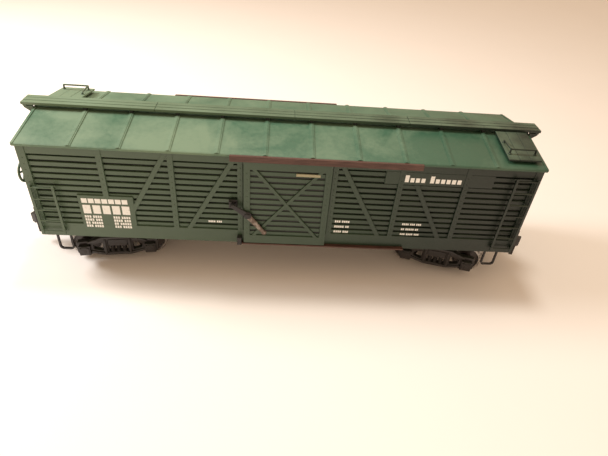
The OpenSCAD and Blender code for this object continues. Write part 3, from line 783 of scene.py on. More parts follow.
def rubbed_tread():
    """The wheel's tread, rubbed bright by the rail, with patches of dark dirt on it."""
    material, tree = new_material("Turned metal tread")
    where = add(tree, "ShaderNodeTexCoord").outputs["Object"]
    dirt = add(tree, "ShaderNodeTexNoise", {"Vector": where, "Scale": per_mm(0.9), "Detail": 5.0})
    dirty = banded(tree, dirt.outputs["Fac"], 0.45, 0.7, 0, 0.8)
    base = mixed(tree, dirty, hex_colour("#b3b0ac"), hex_colour("#4c433d"))
    rough = banded(tree, dirt.outputs["Fac"], 0.3, 0.7, 0.25, 0.5)
    finish_material(tree, base, rough, dirt.outputs["Fac"], 0.006, Metallic=0.9)
    return material


def pad_printed_ink():
    """Pad-printed off-white ink: matt, slightly thin so that the green shows through in specks."""
    material, tree = new_material("Pad-printed ink")
    where = add(tree, "ShaderNodeTexCoord").outputs["Object"]
    thin = add(tree, "ShaderNodeTexNoise", {"Vector": where, "Scale": per_mm(0.5), "Detail": 5.0})
    base = mixed(tree, banded(tree, thin.outputs["Fac"], 0.58, 0.8, 0, 0.4), tint("ink"), tint("walls"))
    rough = banded(tree, thin.outputs["Fac"], 0.3, 0.7, 0.5, 0.65)
    finish_material(tree, base, rough, thin.outputs["Fac"], 0.004)
    return material


def printed_card():
    """Cream card board, faintly yellowed in patches."""
    material, tree = new_material("Cream card board")
    where = add(tree, "ShaderNodeTexCoord").outputs["Object"]
    age = add(tree, "ShaderNodeTexNoise", {"Vector": where, "Scale": per_mm(1.5), "Detail": 4.0})
    base = mixed(tree, age.outputs["Fac"], shaded(tint("card"), 0.8), shaded(tint("card"), 1.1))
    rough = banded(tree, age.outputs["Fac"], 0.3, 0.7, 0.6, 0.7)
    finish_material(tree, base, rough, age.outputs["Fac"], 0.008)
    return material


def stage_paper():
    """Matt white paper sweep with a very faint mottle."""
    material, tree = new_material("Matt paper")
    where = add(tree, "ShaderNodeTexCoord").outputs["Object"]
    pulp = add(tree, "ShaderNodeTexNoise", {"Vector": where, "Scale": per_mm(30), "Detail": 3.0})
    base = mixed(tree, pulp.outputs["Fac"], shaded(tint("stand"), 0.98), tint("stand"))
    rough = banded(tree, pulp.outputs["Fac"], 0, 1, 0.8, 0.9)
    finish_material(tree, base, rough, pulp.outputs["Fac"], 0.01)
    return material


MAKERS = {
    "walls": wall_styrene,
    "painted_shade": painted_shade_styrene,
    "walk": walk_styrene,
    "roof": roof_styrene,
    "track": painted_strip,
    "black": black_styrene,
    "truck": truck_acetal,
    "wheel": wheel_acetal,
    "tread": rubbed_tread,
    "lever": worn_lever_paint,
    "steel": plain_steel,
    "ink": pad_printed_ink,
    "card": printed_card,
    "floor": plank_floor,
    "stage": stage_paper,
}
made_materials = {}


def coat(name):
    """The finished material of that name, made once."""
    if name not in made_materials:
        made_materials[name] = MAKERS[name]()
    return made_materials[name]


# ---------------------------------------------------------------- levels and faces shared by the pieces

GAP_Y = POST_Y - 1.1
SLAT_Y = POST_Y - 0.5
DOOR_POST_X = DOOR_HIGH.x + 1
DOORWAY_X = DOOR_HIGH.x - 1
DOORWAY_LOW = SILL_Z + 3.1
SLAT_SHARE = 0.65
RIB_RISE = 0.35
EAVE_Y = ROOF_HIGH.y - 0.15
EAVE_Z = WALL_TOP + 0.8
RIDGE_Z = ROOF_HIGH.z - RIB_RISE
SEAM_PITCH = 2 * END_X / 11.2


def roof_top(y):
    return RIDGE_Z - (RIDGE_Z - EAVE_Z) * abs(y) / EAVE_Y


def slat_low():
    return SILL_Z + size("sill")


def slat_high():
    return WALL_TOP - size("fascia")


def bay():
    return (END_X - size("corner") - DOOR_POST_X) / 3


def post_places():
    """The middles of a side's posts, from the left end to the right end, without the corner posts."""
    right = [DOOR_POST_X + i * bay() for i in range(3)]
    return [-x for x in reversed(right)] + right


def slat_rows(low, high):
    """The middle height of each row of slats between two levels."""
    pitch = (high - low) / sizes().slats
    return [low + (i + SLAT_SHARE / 2) * pitch for i in range(sizes().slats)]


def slats(name, spans, low, high, start, end, axis, place, body, nodes=()):
    """Rows of boards between two levels; each row is cut into the given spans."""
    pitch = (high - low) / sizes().slats
    bm = bmesh.new()
    for a, b in spans:
        outline = [(a, low), (b, low), (b, low + pitch * SLAT_SHARE), (a, low + pitch * SLAT_SHARE)]
        prism(bm, outline, start, end, axis)
    row = mesh_of(bm, name)
    tree = shared_tree("Repeated shape", repeat_tree)
    values = {
        "Count": sizes().slats,
        "Step": (0, 0, pitch * MM),
        "Stray": (0.00002, 0.00002, 0.00002),
        "Material": coat("walls"),
    }
    mesh = turned_mesh(grow(tree, row, values), place)
    return piece(name, mesh, None, body, nodes, bevel=0.09)


def studs(name, points, radius, squash, material, place, body):
    """Round heads on points; squash flattens them along one axis."""
    tree = shared_tree("Studs on points", stud_tree)
    values = {"Radius": radius * MM, "Squash": squash, "Material": coat(material)}
    mesh = turned_mesh(grow(tree, points_mesh(points), values), place)
    return piece(name, mesh, None, body, smooth=80)


def brace(bm, foot, top, width, start, end, axis="y"):
    """A diagonal bar cut level at both ends."""
    foot, top = Vector(foot), Vector(top)
    half = Vector((width / 2 * (top - foot).length / abs(top.y - foot.y), 0))
    prism(bm, [foot - half, foot + half, top + half, top - half], start, end, axis)


# ---------------------------------------------------------------- body pieces

SIDES = {"right": WHOLE, "left": HALF_TURN}


class BOXCAR_OT_sides(bpy.types.Operator):
    """Side walls: panel with doorway, framing, slats and bolt heads"""

    bl_idname = "boxcar.sides"
    bl_label = "Side walls"

    def execute(self, context):
        for side, place in SIDES.items():
            self.panel(side, place)
            self.framing(side, place)
            spans = list(zip([-END_X + 1] + post_places()[:3], post_places()[:3]))
            spans += [(-b, -a) for a, b in reversed(spans)]
            slats(
                f"side_slats_{side}", spans, slat_low(), slat_high(),
                -GAP_Y + 0.1, -SLAT_Y, "y", place, "car_body"
            )
            rows = slat_rows(slat_low(), slat_high())
            corners = [-END_X + size("corner") / 2, END_X - size("corner") / 2]
            board = self.number_board()
            heads = [
                (x, -POST_Y, z)
                for x in post_places() + corners
                for z in rows
                if not (board[0] < x < board[1] and z < board[3])
            ]
            studs(
                f"side_bolts_{side}", heads, size("bolt"), (1, 0.5, 1),
                "walls", place, "car_body"
            )
        return {"FINISHED"}

    @staticmethod
    def number_board():
        """The number board's left, right, low and high edges."""
        left = -DOOR_POST_X - 2 * bay() - 8
        return left, left + 15.2, SILL_Z + 2.9, SILL_Z + 14.5

    @staticmethod
    def name_board():
        left = DOOR_POST_X + 0.75 * bay()
        return left, left + 1.66 * bay(), slat_high() - 4, slat_high()

    def panel(self, side, place):
        bm = bmesh.new()
        xs = [-END_X, -DOORWAY_X, DOORWAY_X, END_X]
        zs = [SILL_Z, DOORWAY_LOW, slat_high() - 0.3, WALL_TOP]
        grid_plate(bm, xs, zs, [(1, 1)], -INNER_Y, -GAP_Y)
        mesh = mesh_of(bm, "side_panel", place)
        # The panel behind the slats is coloured near black as painted shade.
        piece(
            f"side_panel_{side}", mesh, coat("painted_shade"), "car_body",
            [f"side_{side}"], bevel=0.05
        )

    def framing(self, side, place):
        bm = bmesh.new()
        low, high = slat_low(), slat_high()
        back = -GAP_Y + 0.15
        step = [(END_X, low), (DOORWAY_X, low), (DOORWAY_X, DOORWAY_LOW)]
        sill = [(-END_X, SILL_Z), (END_X, SILL_Z)] + step + [(-x, z) for x, z in reversed(step)]
        prism(bm, sill, back, -POST_Y + 0.04)
        block(bm, (-END_X, -POST_Y + 0.16, high), (END_X, back, WALL_TOP))
        for x in post_places():
            block(
                bm, (x - size("post") / 2, -POST_Y, low - 0.05),
                (x + size("post") / 2, back, WALL_TOP - 0.02)
            )
        for s in (-1, 1):
            inner, outer = s * (END_X - size("corner")), s * (END_X - 0.01)
            block(
                bm, (min(inner, outer), -POST_Y, SILL_Z + 0.01), (max(inner, outer), back, WALL_TOP - 0.01)
            )
        self.braces(bm, back)
        for board, proud in ((self.number_board(), 0.06), (self.name_board(), 0.12)):
            left, right, bottom, top = board
            block(bm, (left, -POST_Y + proud, bottom), (right, back, top))
        mesh = mesh_of(bm, "side_framing", place)
        piece(f"side_framing_{side}", mesh, coat("walls"), "car_body", bevel=size("edge"))

    def braces(self, bm, back):
        """Diagonals from the head of each post down to the sill beside the next."""
        for s in (-1, 1):
            for i in range(2):
                foot = Vector((s * (DOOR_POST_X + (i + 1) * bay() - 3.8), slat_low() - 0.02))
                top = Vector((s * (DOOR_POST_X + i * bay() + 0.9), WALL_TOP - 0.03))
                if s > 0 and i == 1:
                    share = (self.name_board()[2] - foot.y) / (top.y - foot.y)
                    top = foot.lerp(top, share)
                brace(bm, foot, top, size("brace"), back, -POST_Y + 0.05)


class BOXCAR_OT_ends(bpy.types.Operator):
    """End walls: gabled panel, framing, slats and bolt heads"""

    bl_idname = "boxcar.ends"
    bl_label = "End walls"

    def execute(self, context):
        post_y = 5.4
        low, high = slat_low(), slat_high()
        half_post = size("post") / 2
        for end, place in (("a", WHOLE), ("b", HALF_TURN)):
            eave = roof_top(INNER_Y) - 0.92
            gable = [(-INNER_Y, eave), (0, roof_top(0) - 0.92), (INNER_Y, eave)]
            bm = bmesh.new()
            prism(bm, [(INNER_Y, SILL_Z), (-INNER_Y, SILL_Z)] + gable, END_X - 1.5, END_X - 0.9, "x")
            mesh = mesh_of(bm, "end_panel", place)
            # The end panel behind the slats is coloured near black as painted shade.
            piece(
                f"end_panel_{end}", mesh, coat("painted_shade"), "car_body",
                [f"end_{end}"], bevel=0.05
            )
            bm = bmesh.new()
            block(bm, (END_X - 1, -INNER_Y, SILL_Z), (END_X - 0.04, INNER_Y, low))
            prism(bm, [(INNER_Y, high), (-INNER_Y, high)] + gable, END_X - 1, END_X - 0.15, "x")
            for s in (-1, 1):
                block(
                    bm,
                    (END_X - 1, s * post_y - half_post, low - 0.05),
                    (END_X, s * post_y + half_post, high + 2.5),
                )
                brace(
                    bm,
                    (s * (INNER_Y - 1.6), low - 0.02),
                    (s * (post_y + 1.8), high + 0.02),
                    size("brace"),
                    END_X - 1,
                    END_X - 0.05,
                    "x",
                )
            mesh = mesh_of(bm, "end_framing", place)
            piece(f"end_framing_{end}", mesh, coat("walls"), "car_body", bevel=size("edge"))
            spans = [(-INNER_Y, INNER_Y)]
            slats(f"end_slats_{end}", spans, low, high, END_X - 1, END_X - 0.4, "x", place, "car_body")
            heads = [(END_X, s * post_y, z) for s in (-1, 1) for z in slat_rows(low, high)]
            studs(
                f"end_bolts_{end}", heads, size("bolt"), (0.5, 1, 1),
                "walls", place, "car_body"
            )
        return {"FINISHED"}


class BOXCAR_OT_roof(bpy.types.Operator):
    """Roof sheet with its seam caps and eave lips"""

    bl_idname = "boxcar.roof"
    bl_label = "Roof"

    def execute(self, context):
        half = ROOF_HIGH.x
        bm = bmesh.new()
        top = [(-EAVE_Y, EAVE_Z), (0, RIDGE_Z), (EAVE_Y, EAVE_Z)]
        under = [(y, z - 0.9) for y, z in reversed(top)]
        prism(bm, top + under, -half, half, "x")
        mesh = mesh_of(bm, "roof_sheet")
        piece("roof_sheet", mesh, coat("roof"), "car_body", ["roof"], bevel=0.08)
        bm = bmesh.new()
        start = -(sizes().seams - 1) / 2 * SEAM_PITCH
        self.cap(bm, start, 0.65, RIB_RISE - 0.1)
        self.cap(bm, start, 0.3, RIB_RISE)
        tree = shared_tree("Repeated shape", repeat_tree)
        values = {
            "Count": sizes().seams,
            "Step": (SEAM_PITCH * MM, 0, 0),
            "Stray": (0.00003, 0, 0),
            "Material": coat("roof"),
        }
        caps = grow(tree, mesh_of(bm, "cap"), values)
        piece("roof_seam_caps", caps, None, "car_body", bevel=0.08)
        bm = bmesh.new()
        for s in (-1, 1):
            self.cap(bm, s * (half - 0.35), 0.34, 0.22)
            edge = [(-half + 0.05, s * EAVE_Y, EAVE_Z - 0.35), (half - 0.05, s * EAVE_Y, EAVE_Z - 0.35)]
            tube(bm, edge, 0.3, sides=12)
        piece("roof_trim", mesh_of(bm, "trim"), coat("roof"), "car_body", bevel=0.06)
        return {"FINISHED"}

    @staticmethod
    def cap(bm, x, half_width, rise):
        """A strip over both slopes of the roof, turned down at the eaves."""
        out = EAVE_Y + 0.14
        over = [(-out, roof_top(out) + rise - 0.1), (0, RIDGE_Z + rise), (out, roof_top(out) + rise - 0.1)]
        below = [(out, EAVE_Z - 0.6), (EAVE_Y - 0.5, EAVE_Z - 0.6), (0, RIDGE_Z - 0.6)]
        below += [(0.5 - EAVE_Y, EAVE_Z - 0.6), (-out, EAVE_Z - 0.6)]
        prism(bm, over + below, x - half_width, x + half_width, "x")


class BOXCAR_OT_roof_walk(bpy.types.Operator):
    """Roof walk: planks, saddles, end battens, nail heads and brackets"""

    bl_idname = "boxcar.roof_walk"
    bl_label = "Roof walk"

    def execute(self, context):
        gap = 0.16
        half = WALK_HIGH.x
        width = WALK_HIGH.y * 2
        plank = (width - 2 * gap) / 3
        top = WALK_HIGH.z
        low = top - 0.8
        tree = shared_tree("Repeated shape", repeat_tree)
        bm = bmesh.new()
        joints = [-half, -half * 0.51, 0.02 * half, half * 0.47, half]
        for a, b in zip(joints, joints[1:]):
            block(bm, (a + 0.04, -width / 2, low), (b - 0.04, -width / 2 + plank, top))
        values = {
            "Count": 3,
            "Step": (0, (plank + gap) * MM, 0),
            "Stray": (0.0, 0.00002, 0.00003),
            "Material": coat("walk"),
        }
        planks = grow(tree, mesh_of(bm, "planks"), values)
        piece("walk_planks", planks, None, "car_body", ["running_board"], bevel=0.1)
        start = -(sizes().seams - 1) / 2 * SEAM_PITCH
        y = width / 2
        bm = bmesh.new()
        foot = [(-y, roof_top(y) + RIB_RISE), (0, RIDGE_Z + RIB_RISE), (y, roof_top(y) + RIB_RISE)]
        prism(bm, foot + [(y, low + 0.1), (-y, low + 0.1)], start - 0.5, start + 0.5, "x")
        values = {
            "Count": sizes().seams,
            "Step": (SEAM_PITCH * MM, 0, 0),
            "Stray": (0.00002, 0, 0),
            # The saddles under the walk are coloured near black as painted shade.
            "Material": coat("painted_shade"),
        }
        saddles = grow(tree, mesh_of(bm, "saddle"), values)
        piece("walk_saddles", saddles, None, "car_body", bevel=0.05)
        bm = bmesh.new()
        for s in (-1, 1):
            block(bm, (s * (half - 1) - 0.5, -y, low - 0.4), (s * (half - 1) + 0.5, y, low + 0.05))
        piece("walk_battens", mesh_of(bm, "battens"), coat("walls"), "car_body", bevel=0.05)
        rows = [start + i * SEAM_PITCH for i in range(sizes().seams)] + [1 - half, half - 1]
        nails = [
            (x + dx, i * (plank + gap) + dy, top)
            for x in rows
            for i in (-1, 0, 1)
            for dx, dy in ((-0.2, -0.4), (0.2, 0.4))
        ]
        studs("walk_nails", nails, 0.13, (1, 1, 0.4), "walk", WHOLE, "car_body")
        refined("running_board_brackets", coat("walls"), "car_body", 0.04)
        return {"FINISHED"}


class BOXCAR_OT_platforms(bpy.types.Operator):
    """Side platforms on the roof, and their L-shaped grab irons"""

    bl_idname = "boxcar.platforms"
    bl_label = "Roof platforms"

    def execute(self, context):
        low, high = box_mm("lateral_platform_a")
        gap = 0.04
        plank = (high.x - low.x - 2 * gap) / 3
        inner, outer = -high.y, -low.y
        lift = RIB_RISE + 0.4
        thick = 0.5
        tree = shared_tree("Repeated shape", repeat_tree)
        for end, place in (("a", WHOLE), ("b", HALF_TURN)):
            bm = bmesh.new()
            deck = [(-inner, roof_top(inner) + lift), (-outer, roof_top(outer) + lift)]
            deck += [(y, z + thick) for y, z in reversed(deck)]
            prism(bm, deck, low.x, low.x + plank, "x")
            values = {
                "Count": 3,
                "Step": ((plank + gap) * MM, 0, 0),
                "Stray": (0.0, 0.00002, 0.00002),
                "Material": coat("walk"),
            }
            mesh = turned_mesh(grow(tree, mesh_of(bm, "planks"), values), place)
            piece(
                f"platform_planks_{end}", mesh, None, "car_body",
                [f"lateral_platform_{end}"], bevel=0.1
            )
            bm = bmesh.new()
            for y in (inner + 1.5, (inner + outer) / 2, outer - 1.5):
                cleat = [(-y - 0.5, roof_top(y + 0.5) - 0.05), (-y - 0.5, roof_top(y + 0.5) + lift + 0.02)]
                cleat += [(-y + 0.5, roof_top(y - 0.5) + lift + 0.02), (-y + 0.5, roof_top(y - 0.5) - 0.05)]
                prism(bm, cleat, low.x + 0.8, high.x - 0.8, "x")
            mesh = mesh_of(bm, "cleats", place)
            piece(f"platform_cleats_{end}", mesh, coat("walls"), "car_body", bevel=0.05)
            self.nails(end, place, low, high, plank + gap, lift + thick)
        self.grab_irons(low.x, lift + thick)
        return {"FINISHED"}

    @staticmethod
    def nails(end, place, low, high, pitch, rise):
        ys = (-high.y + 1, (-high.y - low.y) / 2, -low.y - 1)
        heads = [
            (low.x + (i + 0.5) * pitch + dx, -y, roof_top(y) + rise)
            for i in range(3)
            for y in ys
            for dx in (-1, 1)
        ]
        studs(
            f"platform_nails_{end}", heads, 0.13, (1, 1, 0.4), "walk", place, "car_body"
        )

    @staticmethod
    def grab_irons(left, rise):
        """A bent wire with three feet on each platform."""
        x0, x1, y0, y1 = left + 0.9, left + 8.1, 8.2, 13.4
        top = roof_top(y0) + rise + 0.6
        bm = bmesh.new()
        for place in (WHOLE, HALF_TURN):
            foot = [Vector((x0, -y0, roof_top(y0) + rise - 0.1)), Vector((x0, -y0, top))]
            path = foot + [Vector((x0, -y1, top)), Vector((x1, -y1, top))]
            path.append(Vector((x1, -y1, roof_top(y1) + rise - 0.1)))
            first = rounded(path[:3], 0.3)
            second = rounded([path[1], path[2], path[3]], 0.6)[1:]
            third = rounded(path[2:], 0.3)[1:]
            for run, up in (
                (first, (1, 0, 0)), ([first[-1]] + second[-1:], (0, 0, 1)), ([second[-1]] + third, (0, 1, 0))
            ):
                tube(bm, [place @ p for p in run], size("wire"), up=place.to_3x3() @ Vector(up), sides=12)
            for spot in ((x0, -y0), (x0, -y1), (x1, -y1)):
                foot_z = roof_top(spot[1]) + rise
                post = [place @ Vector((*spot, foot_z - 0.1)), place @ Vector((*spot, top))]
                tube(bm, post, size("wire"), up=(0, 1, 0), sides=12)
                collar = [(0, -0.05), (0.5, -0.05), (0.5, 0.12), (0.35, 0.22), (0, 0.22)]
                lathe(bm, collar, 14, place @ Matrix.Translation((*spot, foot_z)))
        mesh = mesh_of(bm, "grab_irons")
        piece("grab_irons", mesh, coat("walls"), "car_body", ["corner_grab_irons"], smooth=50)


class BOXCAR_OT_doors(bpy.types.Operator):
    """Sliding doors: panel, frame with crossed braces, slats, bolt heads, card board and lever"""

    bl_idname = "boxcar.doors"
    bl_label = "Doors"

    def execute(self, context):
        low, high = DOOR_LOW, DOOR_HIGH
        rail, stile = 2.9, 1.8
        inner_low, inner_high = low.z + rail, high.z - rail
        back, face = high.y, low.y
        slat_face = back - 0.6
        for side, place in SIDES.items():
            body = f"door_{side}"
            bm = bmesh.new()
            block(bm, (low.x, back - 0.4, low.z), (high.x, back, high.z))
            mesh = mesh_of(bm, "door_panel", place)
            # The door panel behind its slats is coloured near black as painted shade.
            piece(
                f"door_panel_{side}", mesh, coat("painted_shade"), body, [f"door_{side}"], bevel=0.05
            )
            bm = bmesh.new()
            xs = [low.x, low.x + stile, high.x - stile, high.x]
            zs = [low.z, inner_low, inner_high, high.z]
            grid_plate(bm, xs, zs, [(1, 1)], back - 0.35, face)
            reach = high.x - stile - 0.9
            for s in (-1, 1):
                foot, top = (-s * reach, inner_low - 0.3), (s * reach, inner_high + 0.3)
                brace(bm, foot, top, 0.92, back - 0.35, face + 0.03 + 0.04 * s)
            mesh = mesh_of(bm, "door_frame", place)
            piece(f"door_frame_{side}", mesh, coat("walls"), body, bevel=size("edge"))
            spans = [(low.x + stile - 0.2, high.x - stile + 0.2)]
            slats(
                f"door_slats_{side}", spans, inner_low, inner_high, back - 0.35, slat_face, "y", place, body
            )
            rows = slat_rows(inner_low, inner_high)
            heads = [(s * (high.x - stile / 2), face, z) for s in (-1, 1) for z in rows]
            studs(
                f"door_bolts_{side}", heads, size("bolt"), (1, 0.4, 1), "walls", place, body
            )
            self.card(side, place, body, slat_face)
            self.lever(side, place, body, face)
        return {"FINISHED"}

    @staticmethod
    def card(side, place, body, slat_face):
        low, high = box_mm("card_board_right")
        bm = bmesh.new()
        block(bm, (low.x, low.y, low.z), (high.x, slat_face + 0.05, high.z))
        mesh = mesh_of(bm, "card", place)
        piece(f"card_{side}", mesh, coat("card"), body, [f"card_board_{side}"], bevel=0.05)

    @staticmethod
    def lever(side, place, body, face):
        """A flat lever in two arms, worn brown and black, with a round boss and a riveted pin."""
        low, high = box_mm("door_lever_right")
        pivot = joint("lever_right_turn")["pos_m"]
        x, z = pivot[0] / MM, pivot[2] / MM
        handle, tail = Vector((4.8, -5.9)), Vector((-4.1, 2.9))
        middle, thick = (low.y + high.y) / 2, high.y - low.y
        outward = Matrix.Rotation(math.pi / 2, 4, "X")
        name = f"door_lever_{side}"
        arms = (
            ("handle", handle, 0.5, 0.75, "lever", "lever_brown", [name]),
            ("tail", tail, 0.62, 0.68, "black", "fittings_black", ()),
        )
        for part, tip, half_width, radius, finish, slot, nodes in arms:
            arm = strap_outline([Vector((0, 0)), tip], [0.85, half_width])
            bm = flat_part([arm], thick * 0.8, 0.08)
            knob = [
                (0, -0.3), (radius * 0.8, -0.3), (radius, -0.12),
                (radius, 0.12), (radius * 0.8, 0.3), (0, 0.3)
            ]
            lathe(bm, knob, 20, Matrix.Translation((tip.x, 0, tip.y)) @ outward)
            if part == "tail":
                lathe(bm, [(0, -0.3), (1.15, -0.3), (1.15, 0.22), (1.0, 0.3), (0, 0.3)], 28, outward)
            mesh = mesh_of(bm, part, place @ Matrix.Translation((x, middle, z)))
            piece(f"lever_{part}_{side}", mesh, coat(finish), name, nodes, smooth=40)
        bm = bmesh.new()
        head = low.y - 0.1
        pin = [(0, 0), (0.45, 0), (0.45, face - head), (0.85, face - head), (0.8, face - head + 0.2)]
        pin += [(0.5, face - head + 0.34), (0, face - head + 0.36)]
        lathe(bm, pin, 24, Matrix.Translation((x, face, z)) @ outward)
        mesh = mesh_of(bm, "pin", place)
        piece(
            f"lever_rivet_{side}", mesh, coat("black"), body,
            [f"lever_pin_{side}"], smooth=40
        )


def strap_outline(points, half_widths, steps=6):
    """The outline of a flat bar along a path, with a half width at each point and round ends."""
    left, right = [], []
    for i, here in enumerate(points):
        along = (points[min(i + 1, len(points) - 1)] - points[max(i - 1, 0)]).normalized()
        across = Vector((-along.y, along.x)) * half_widths[i]
        left.append(here + across)
        right.append(here - across)
    outline = list(left)
    for end, start_point in ((points[-1], left[-1]), (points[0], right[0])):
        spoke = start_point - end
        turns = [-math.pi * k / steps for k in range(1, steps)]
        arc = [end + Matrix.Rotation(a, 2) @ spoke for a in turns]
        outline += arc if end is points[-1] else []
        if end is points[-1]:
            outline += list(reversed(right))
        else:
            outline += arc
    return [(p.x, p.y) for p in outline]


class BOXCAR_OT_door_gear(bpy.types.Operator):
    """Door tracks, stops and the brackets that catch the levers"""

    bl_idname = "boxcar.door_gear"
    bl_label = "Door tracks"

    def execute(self, context):
        for side in SIDES:
            for level in ("upper", "lower"):
                refined(f"{level}_track_{side}", coat("track"), "car_body", 0.07)
        for node in ("door_stops", "latch_keepers"):
            refined(node, coat("black"), "car_body", 0.12)
        return {"FINISHED"}


class BOXCAR_OT_ladders(bpy.types.Operator):
    """Side and end ladders, and the stirrup steps below the sills"""

    bl_idname = "boxcar.ladders"
    bl_label = "Ladders and steps"

    def execute(self, context):
        to_end = Matrix.Rotation(math.pi / 2, 4, "Z")
        for side, place in SIDES.items():
            for kind, rungs in (("side", 7), ("short", 5)):
                low, high = box_mm(f"{kind}_ladder_right")
                self.ladder(
                    f"{kind}_ladder_{side}", place @ Matrix.Translation((low.x, high.y, 0)), low, high, rungs
                )
        for end, place in (("a", WHOLE), ("b", HALF_TURN)):
            low, high = box_mm("end_ladder_a")
            spot = place @ Matrix.Translation((low.x, low.y, 0)) @ to_end
            flat = (Vector((low.y, low.x, low.z)), Vector((high.y, high.x, high.z)))
            self.ladder(f"end_ladder_{end}", spot, *flat, 7)
        self.steps()
        return {"FINISHED"}

    @staticmethod
    def ladder(node, place, low, high, rungs):
        """Two stiles, round rungs and feet, standing off the wall at y = 0."""
        stand, thick, stile = 0.7, 0.45, 0.7
        width = high.x - low.x
        bm = bmesh.new()
        for x in (0, width - stile):
            block(bm, (x, -stand - thick, low.z), (x + stile, -stand, high.z))
            for z in (low.z + 1, high.z - 1.5):
                block(bm, (x, -stand - 0.05, z), (x + stile, 0, z + 0.5))
        mesh = mesh_of(bm, "stiles", place)
        piece(node + "_stiles", mesh, coat("walls"), "car_body", [node], bevel=0.06)
        bm = bmesh.new()
        start = low.z + 0.8
        middle = -stand - thick / 2
        tube(bm, [(stile / 2, middle, start), (width - stile / 2, middle, start)], 0.25, sides=10)
        values = {
            "Count": rungs,
            "Step": (0, 0, (high.z - low.z - 1.6) / (rungs - 1) * MM),
            "Stray": (0, 0, 0),
            "Material": coat("walls"),
        }
        mesh = turned_mesh(
            grow(shared_tree("Repeated shape", repeat_tree), mesh_of(bm, "rung"), values), place
        )
        piece(node + "_rungs", mesh, None, "car_body", smooth=50)
        heads = [
            (x + stile / 2, -stand - thick, z + 0.25)
            for x in (0, width - stile)
            for z in (low.z + 1, high.z - 1.5)
        ]
        radial = place.to_3x3() @ Vector((0, 1, 0))
        squash = (0.5, 1, 1) if abs(radial.x) > 0.5 else (1, 0.5, 1)
        spots = [place @ Vector(h) for h in heads]
        studs(node + "_bolts", spots, 0.2, squash, "walls", WHOLE, "car_body")

    @staticmethod
    def steps():
        """A bent strap hung from the sill at each corner."""
        low, high = box_mm("sill_steps")
        outer, width = high.x, 4.4
        bar = [(-0.3, -0.3), (0.3, -0.3), (0.3, 0.3), (-0.3, 0.3)]
        bm = bmesh.new()
        for s in (-1, 1):
            for t in (-1, 1):
                y = t * (INNER_Y + 1.4)
                a, b = s * (outer - 0.3), s * (outer - width + 0.3)
                corners = [(a, y, SILL_Z), (a, y, low.z + 0.3), (b, y, low.z + 0.3), (b, y, SILL_Z)]
                sweep(bm, rounded(corners, 0.9), bar, (0, 1, 0))
        mesh = mesh_of(bm, "steps")
        piece("stirrup_steps", mesh, coat("black"), "car_body", ["sill_steps"], bevel=0.08)


class BOXCAR_OT_brake_gear(bpy.types.Operator):
    """Hand brake wheel and housing, brake cylinder, air reservoir and control valve"""

    bl_idname = "boxcar.brake_gear"
    bl_label = "Brake gear"

    def execute(self, context):
        hub = Vector(joint("brake_wheel_turn")["pos_m"]) / MM
        outward = Matrix.Translation(hub) @ Matrix.Rotation(-math.pi / 2, 4, "Y")
        radius = (box_mm("brake_wheel")[1].z - box_mm("brake_wheel")[0].z) / 2
        bm = bmesh.new()
        rim = [(radius - 0.35 + c, h) for c, h in circle(0.35, 12)]
        ring_lathe(bm, rim, 64, outward)
        reach = abs(END_X + 0.6 + hub.x)
        shaft = [(0, -reach), (0.48, -reach), (0.48, -0.5), (0.85, -0.5), (0.85, 0.2)]
        lathe(bm, shaft + [(0.6, 0.42), (0.35, 0.42), (0.3, 0.5), (0, 0.5)], 24, outward)
        mesh = mesh_of(bm, "rim")
        piece(
            "brake_wheel_rim", mesh, coat("walls"), "brake_wheel", ["brake_wheel"], smooth=40
        )
        bm = bmesh.new()
        spoke = [(0.5, -0.32), (radius - 0.4, -0.2), (radius - 0.4, 0.2), (0.5, 0.32)]
        prism(bm, spoke, -0.2, 0.2, "z")
        values = {
            "Count": 5,
            "Step": (0, 0, 0),
            "Turn": (0, 0, math.tau / 5),
            "Stray": (0, 0, 0),
            "Material": coat("walls"),
        }
        spokes = grow(shared_tree("Repeated shape", repeat_tree), mesh_of(bm, "spoke"), values)
        spokes = turned_mesh(spokes, outward)
        piece("brake_wheel_spokes", spokes, None, "brake_wheel", bevel=0.1)
        refined("brake_housing", coat("walls"), "car_body", 0.12)
        self.tank("brake_cylinder", (-18.5, -7.6), 2.0, 6.2, 4.4)
        self.tank("air_reservoir", (0, 8), 2.1, 9.6, 0)
        refined("control_valve", coat("black"), "car_body", 0.15)
        return {"FINISHED"}

    @staticmethod
    def tank(node, spot, radius, length, rod):
        """A drawn tank with domed ends in bolted flanges, on two feet."""
        low = box_mm(node)[0]
        z = low.z + radius + 0.3
        along = Matrix.Translation((*spot, z)) @ Matrix.Rotation(math.pi / 2, 4, "Y")
        half = length / 2
        dome = [
            (0, -half - 0.28), (radius * 0.55, -half - 0.2), (radius * 0.85, -half), (radius + 0.28, -half)
        ]
        dome += [(radius + 0.28, -half + 0.35), (radius, -half + 0.4)]
        profile = dome + [(r, -h) for r, h in reversed(dome)]
        bm = bmesh.new()
        lathe(bm, profile, 40, along)
        if rod:
            lathe(
                bm, [(0, half - 0.1), (0.4, half - 0.1), (0.4, half + rod - 0.1), (0, half + rod)], 16, along
            )
        for s in (-1, 1):
            x = spot[0] + s * length / 4
            block(bm, (x - 0.4, spot[1] - radius / 2, z), (x + 0.4, spot[1] + radius / 2, SILL_Z + 0.4))
        mesh = mesh_of(bm, node)
        piece(node + "_tank", mesh, coat("black"), "car_body", [node], bevel=0.05)
        heads = []
        for s in (-1, 1):
            for i in range(8):
                turn = math.tau * i / 8
                heads.append(
                    along @ Vector((radius * math.cos(turn), radius * math.sin(turn), s * (half + 0.02)))
                )
        studs(node + "_bolts", heads, 0.2, (0.7, 1, 1), "black", WHOLE, "car_body")


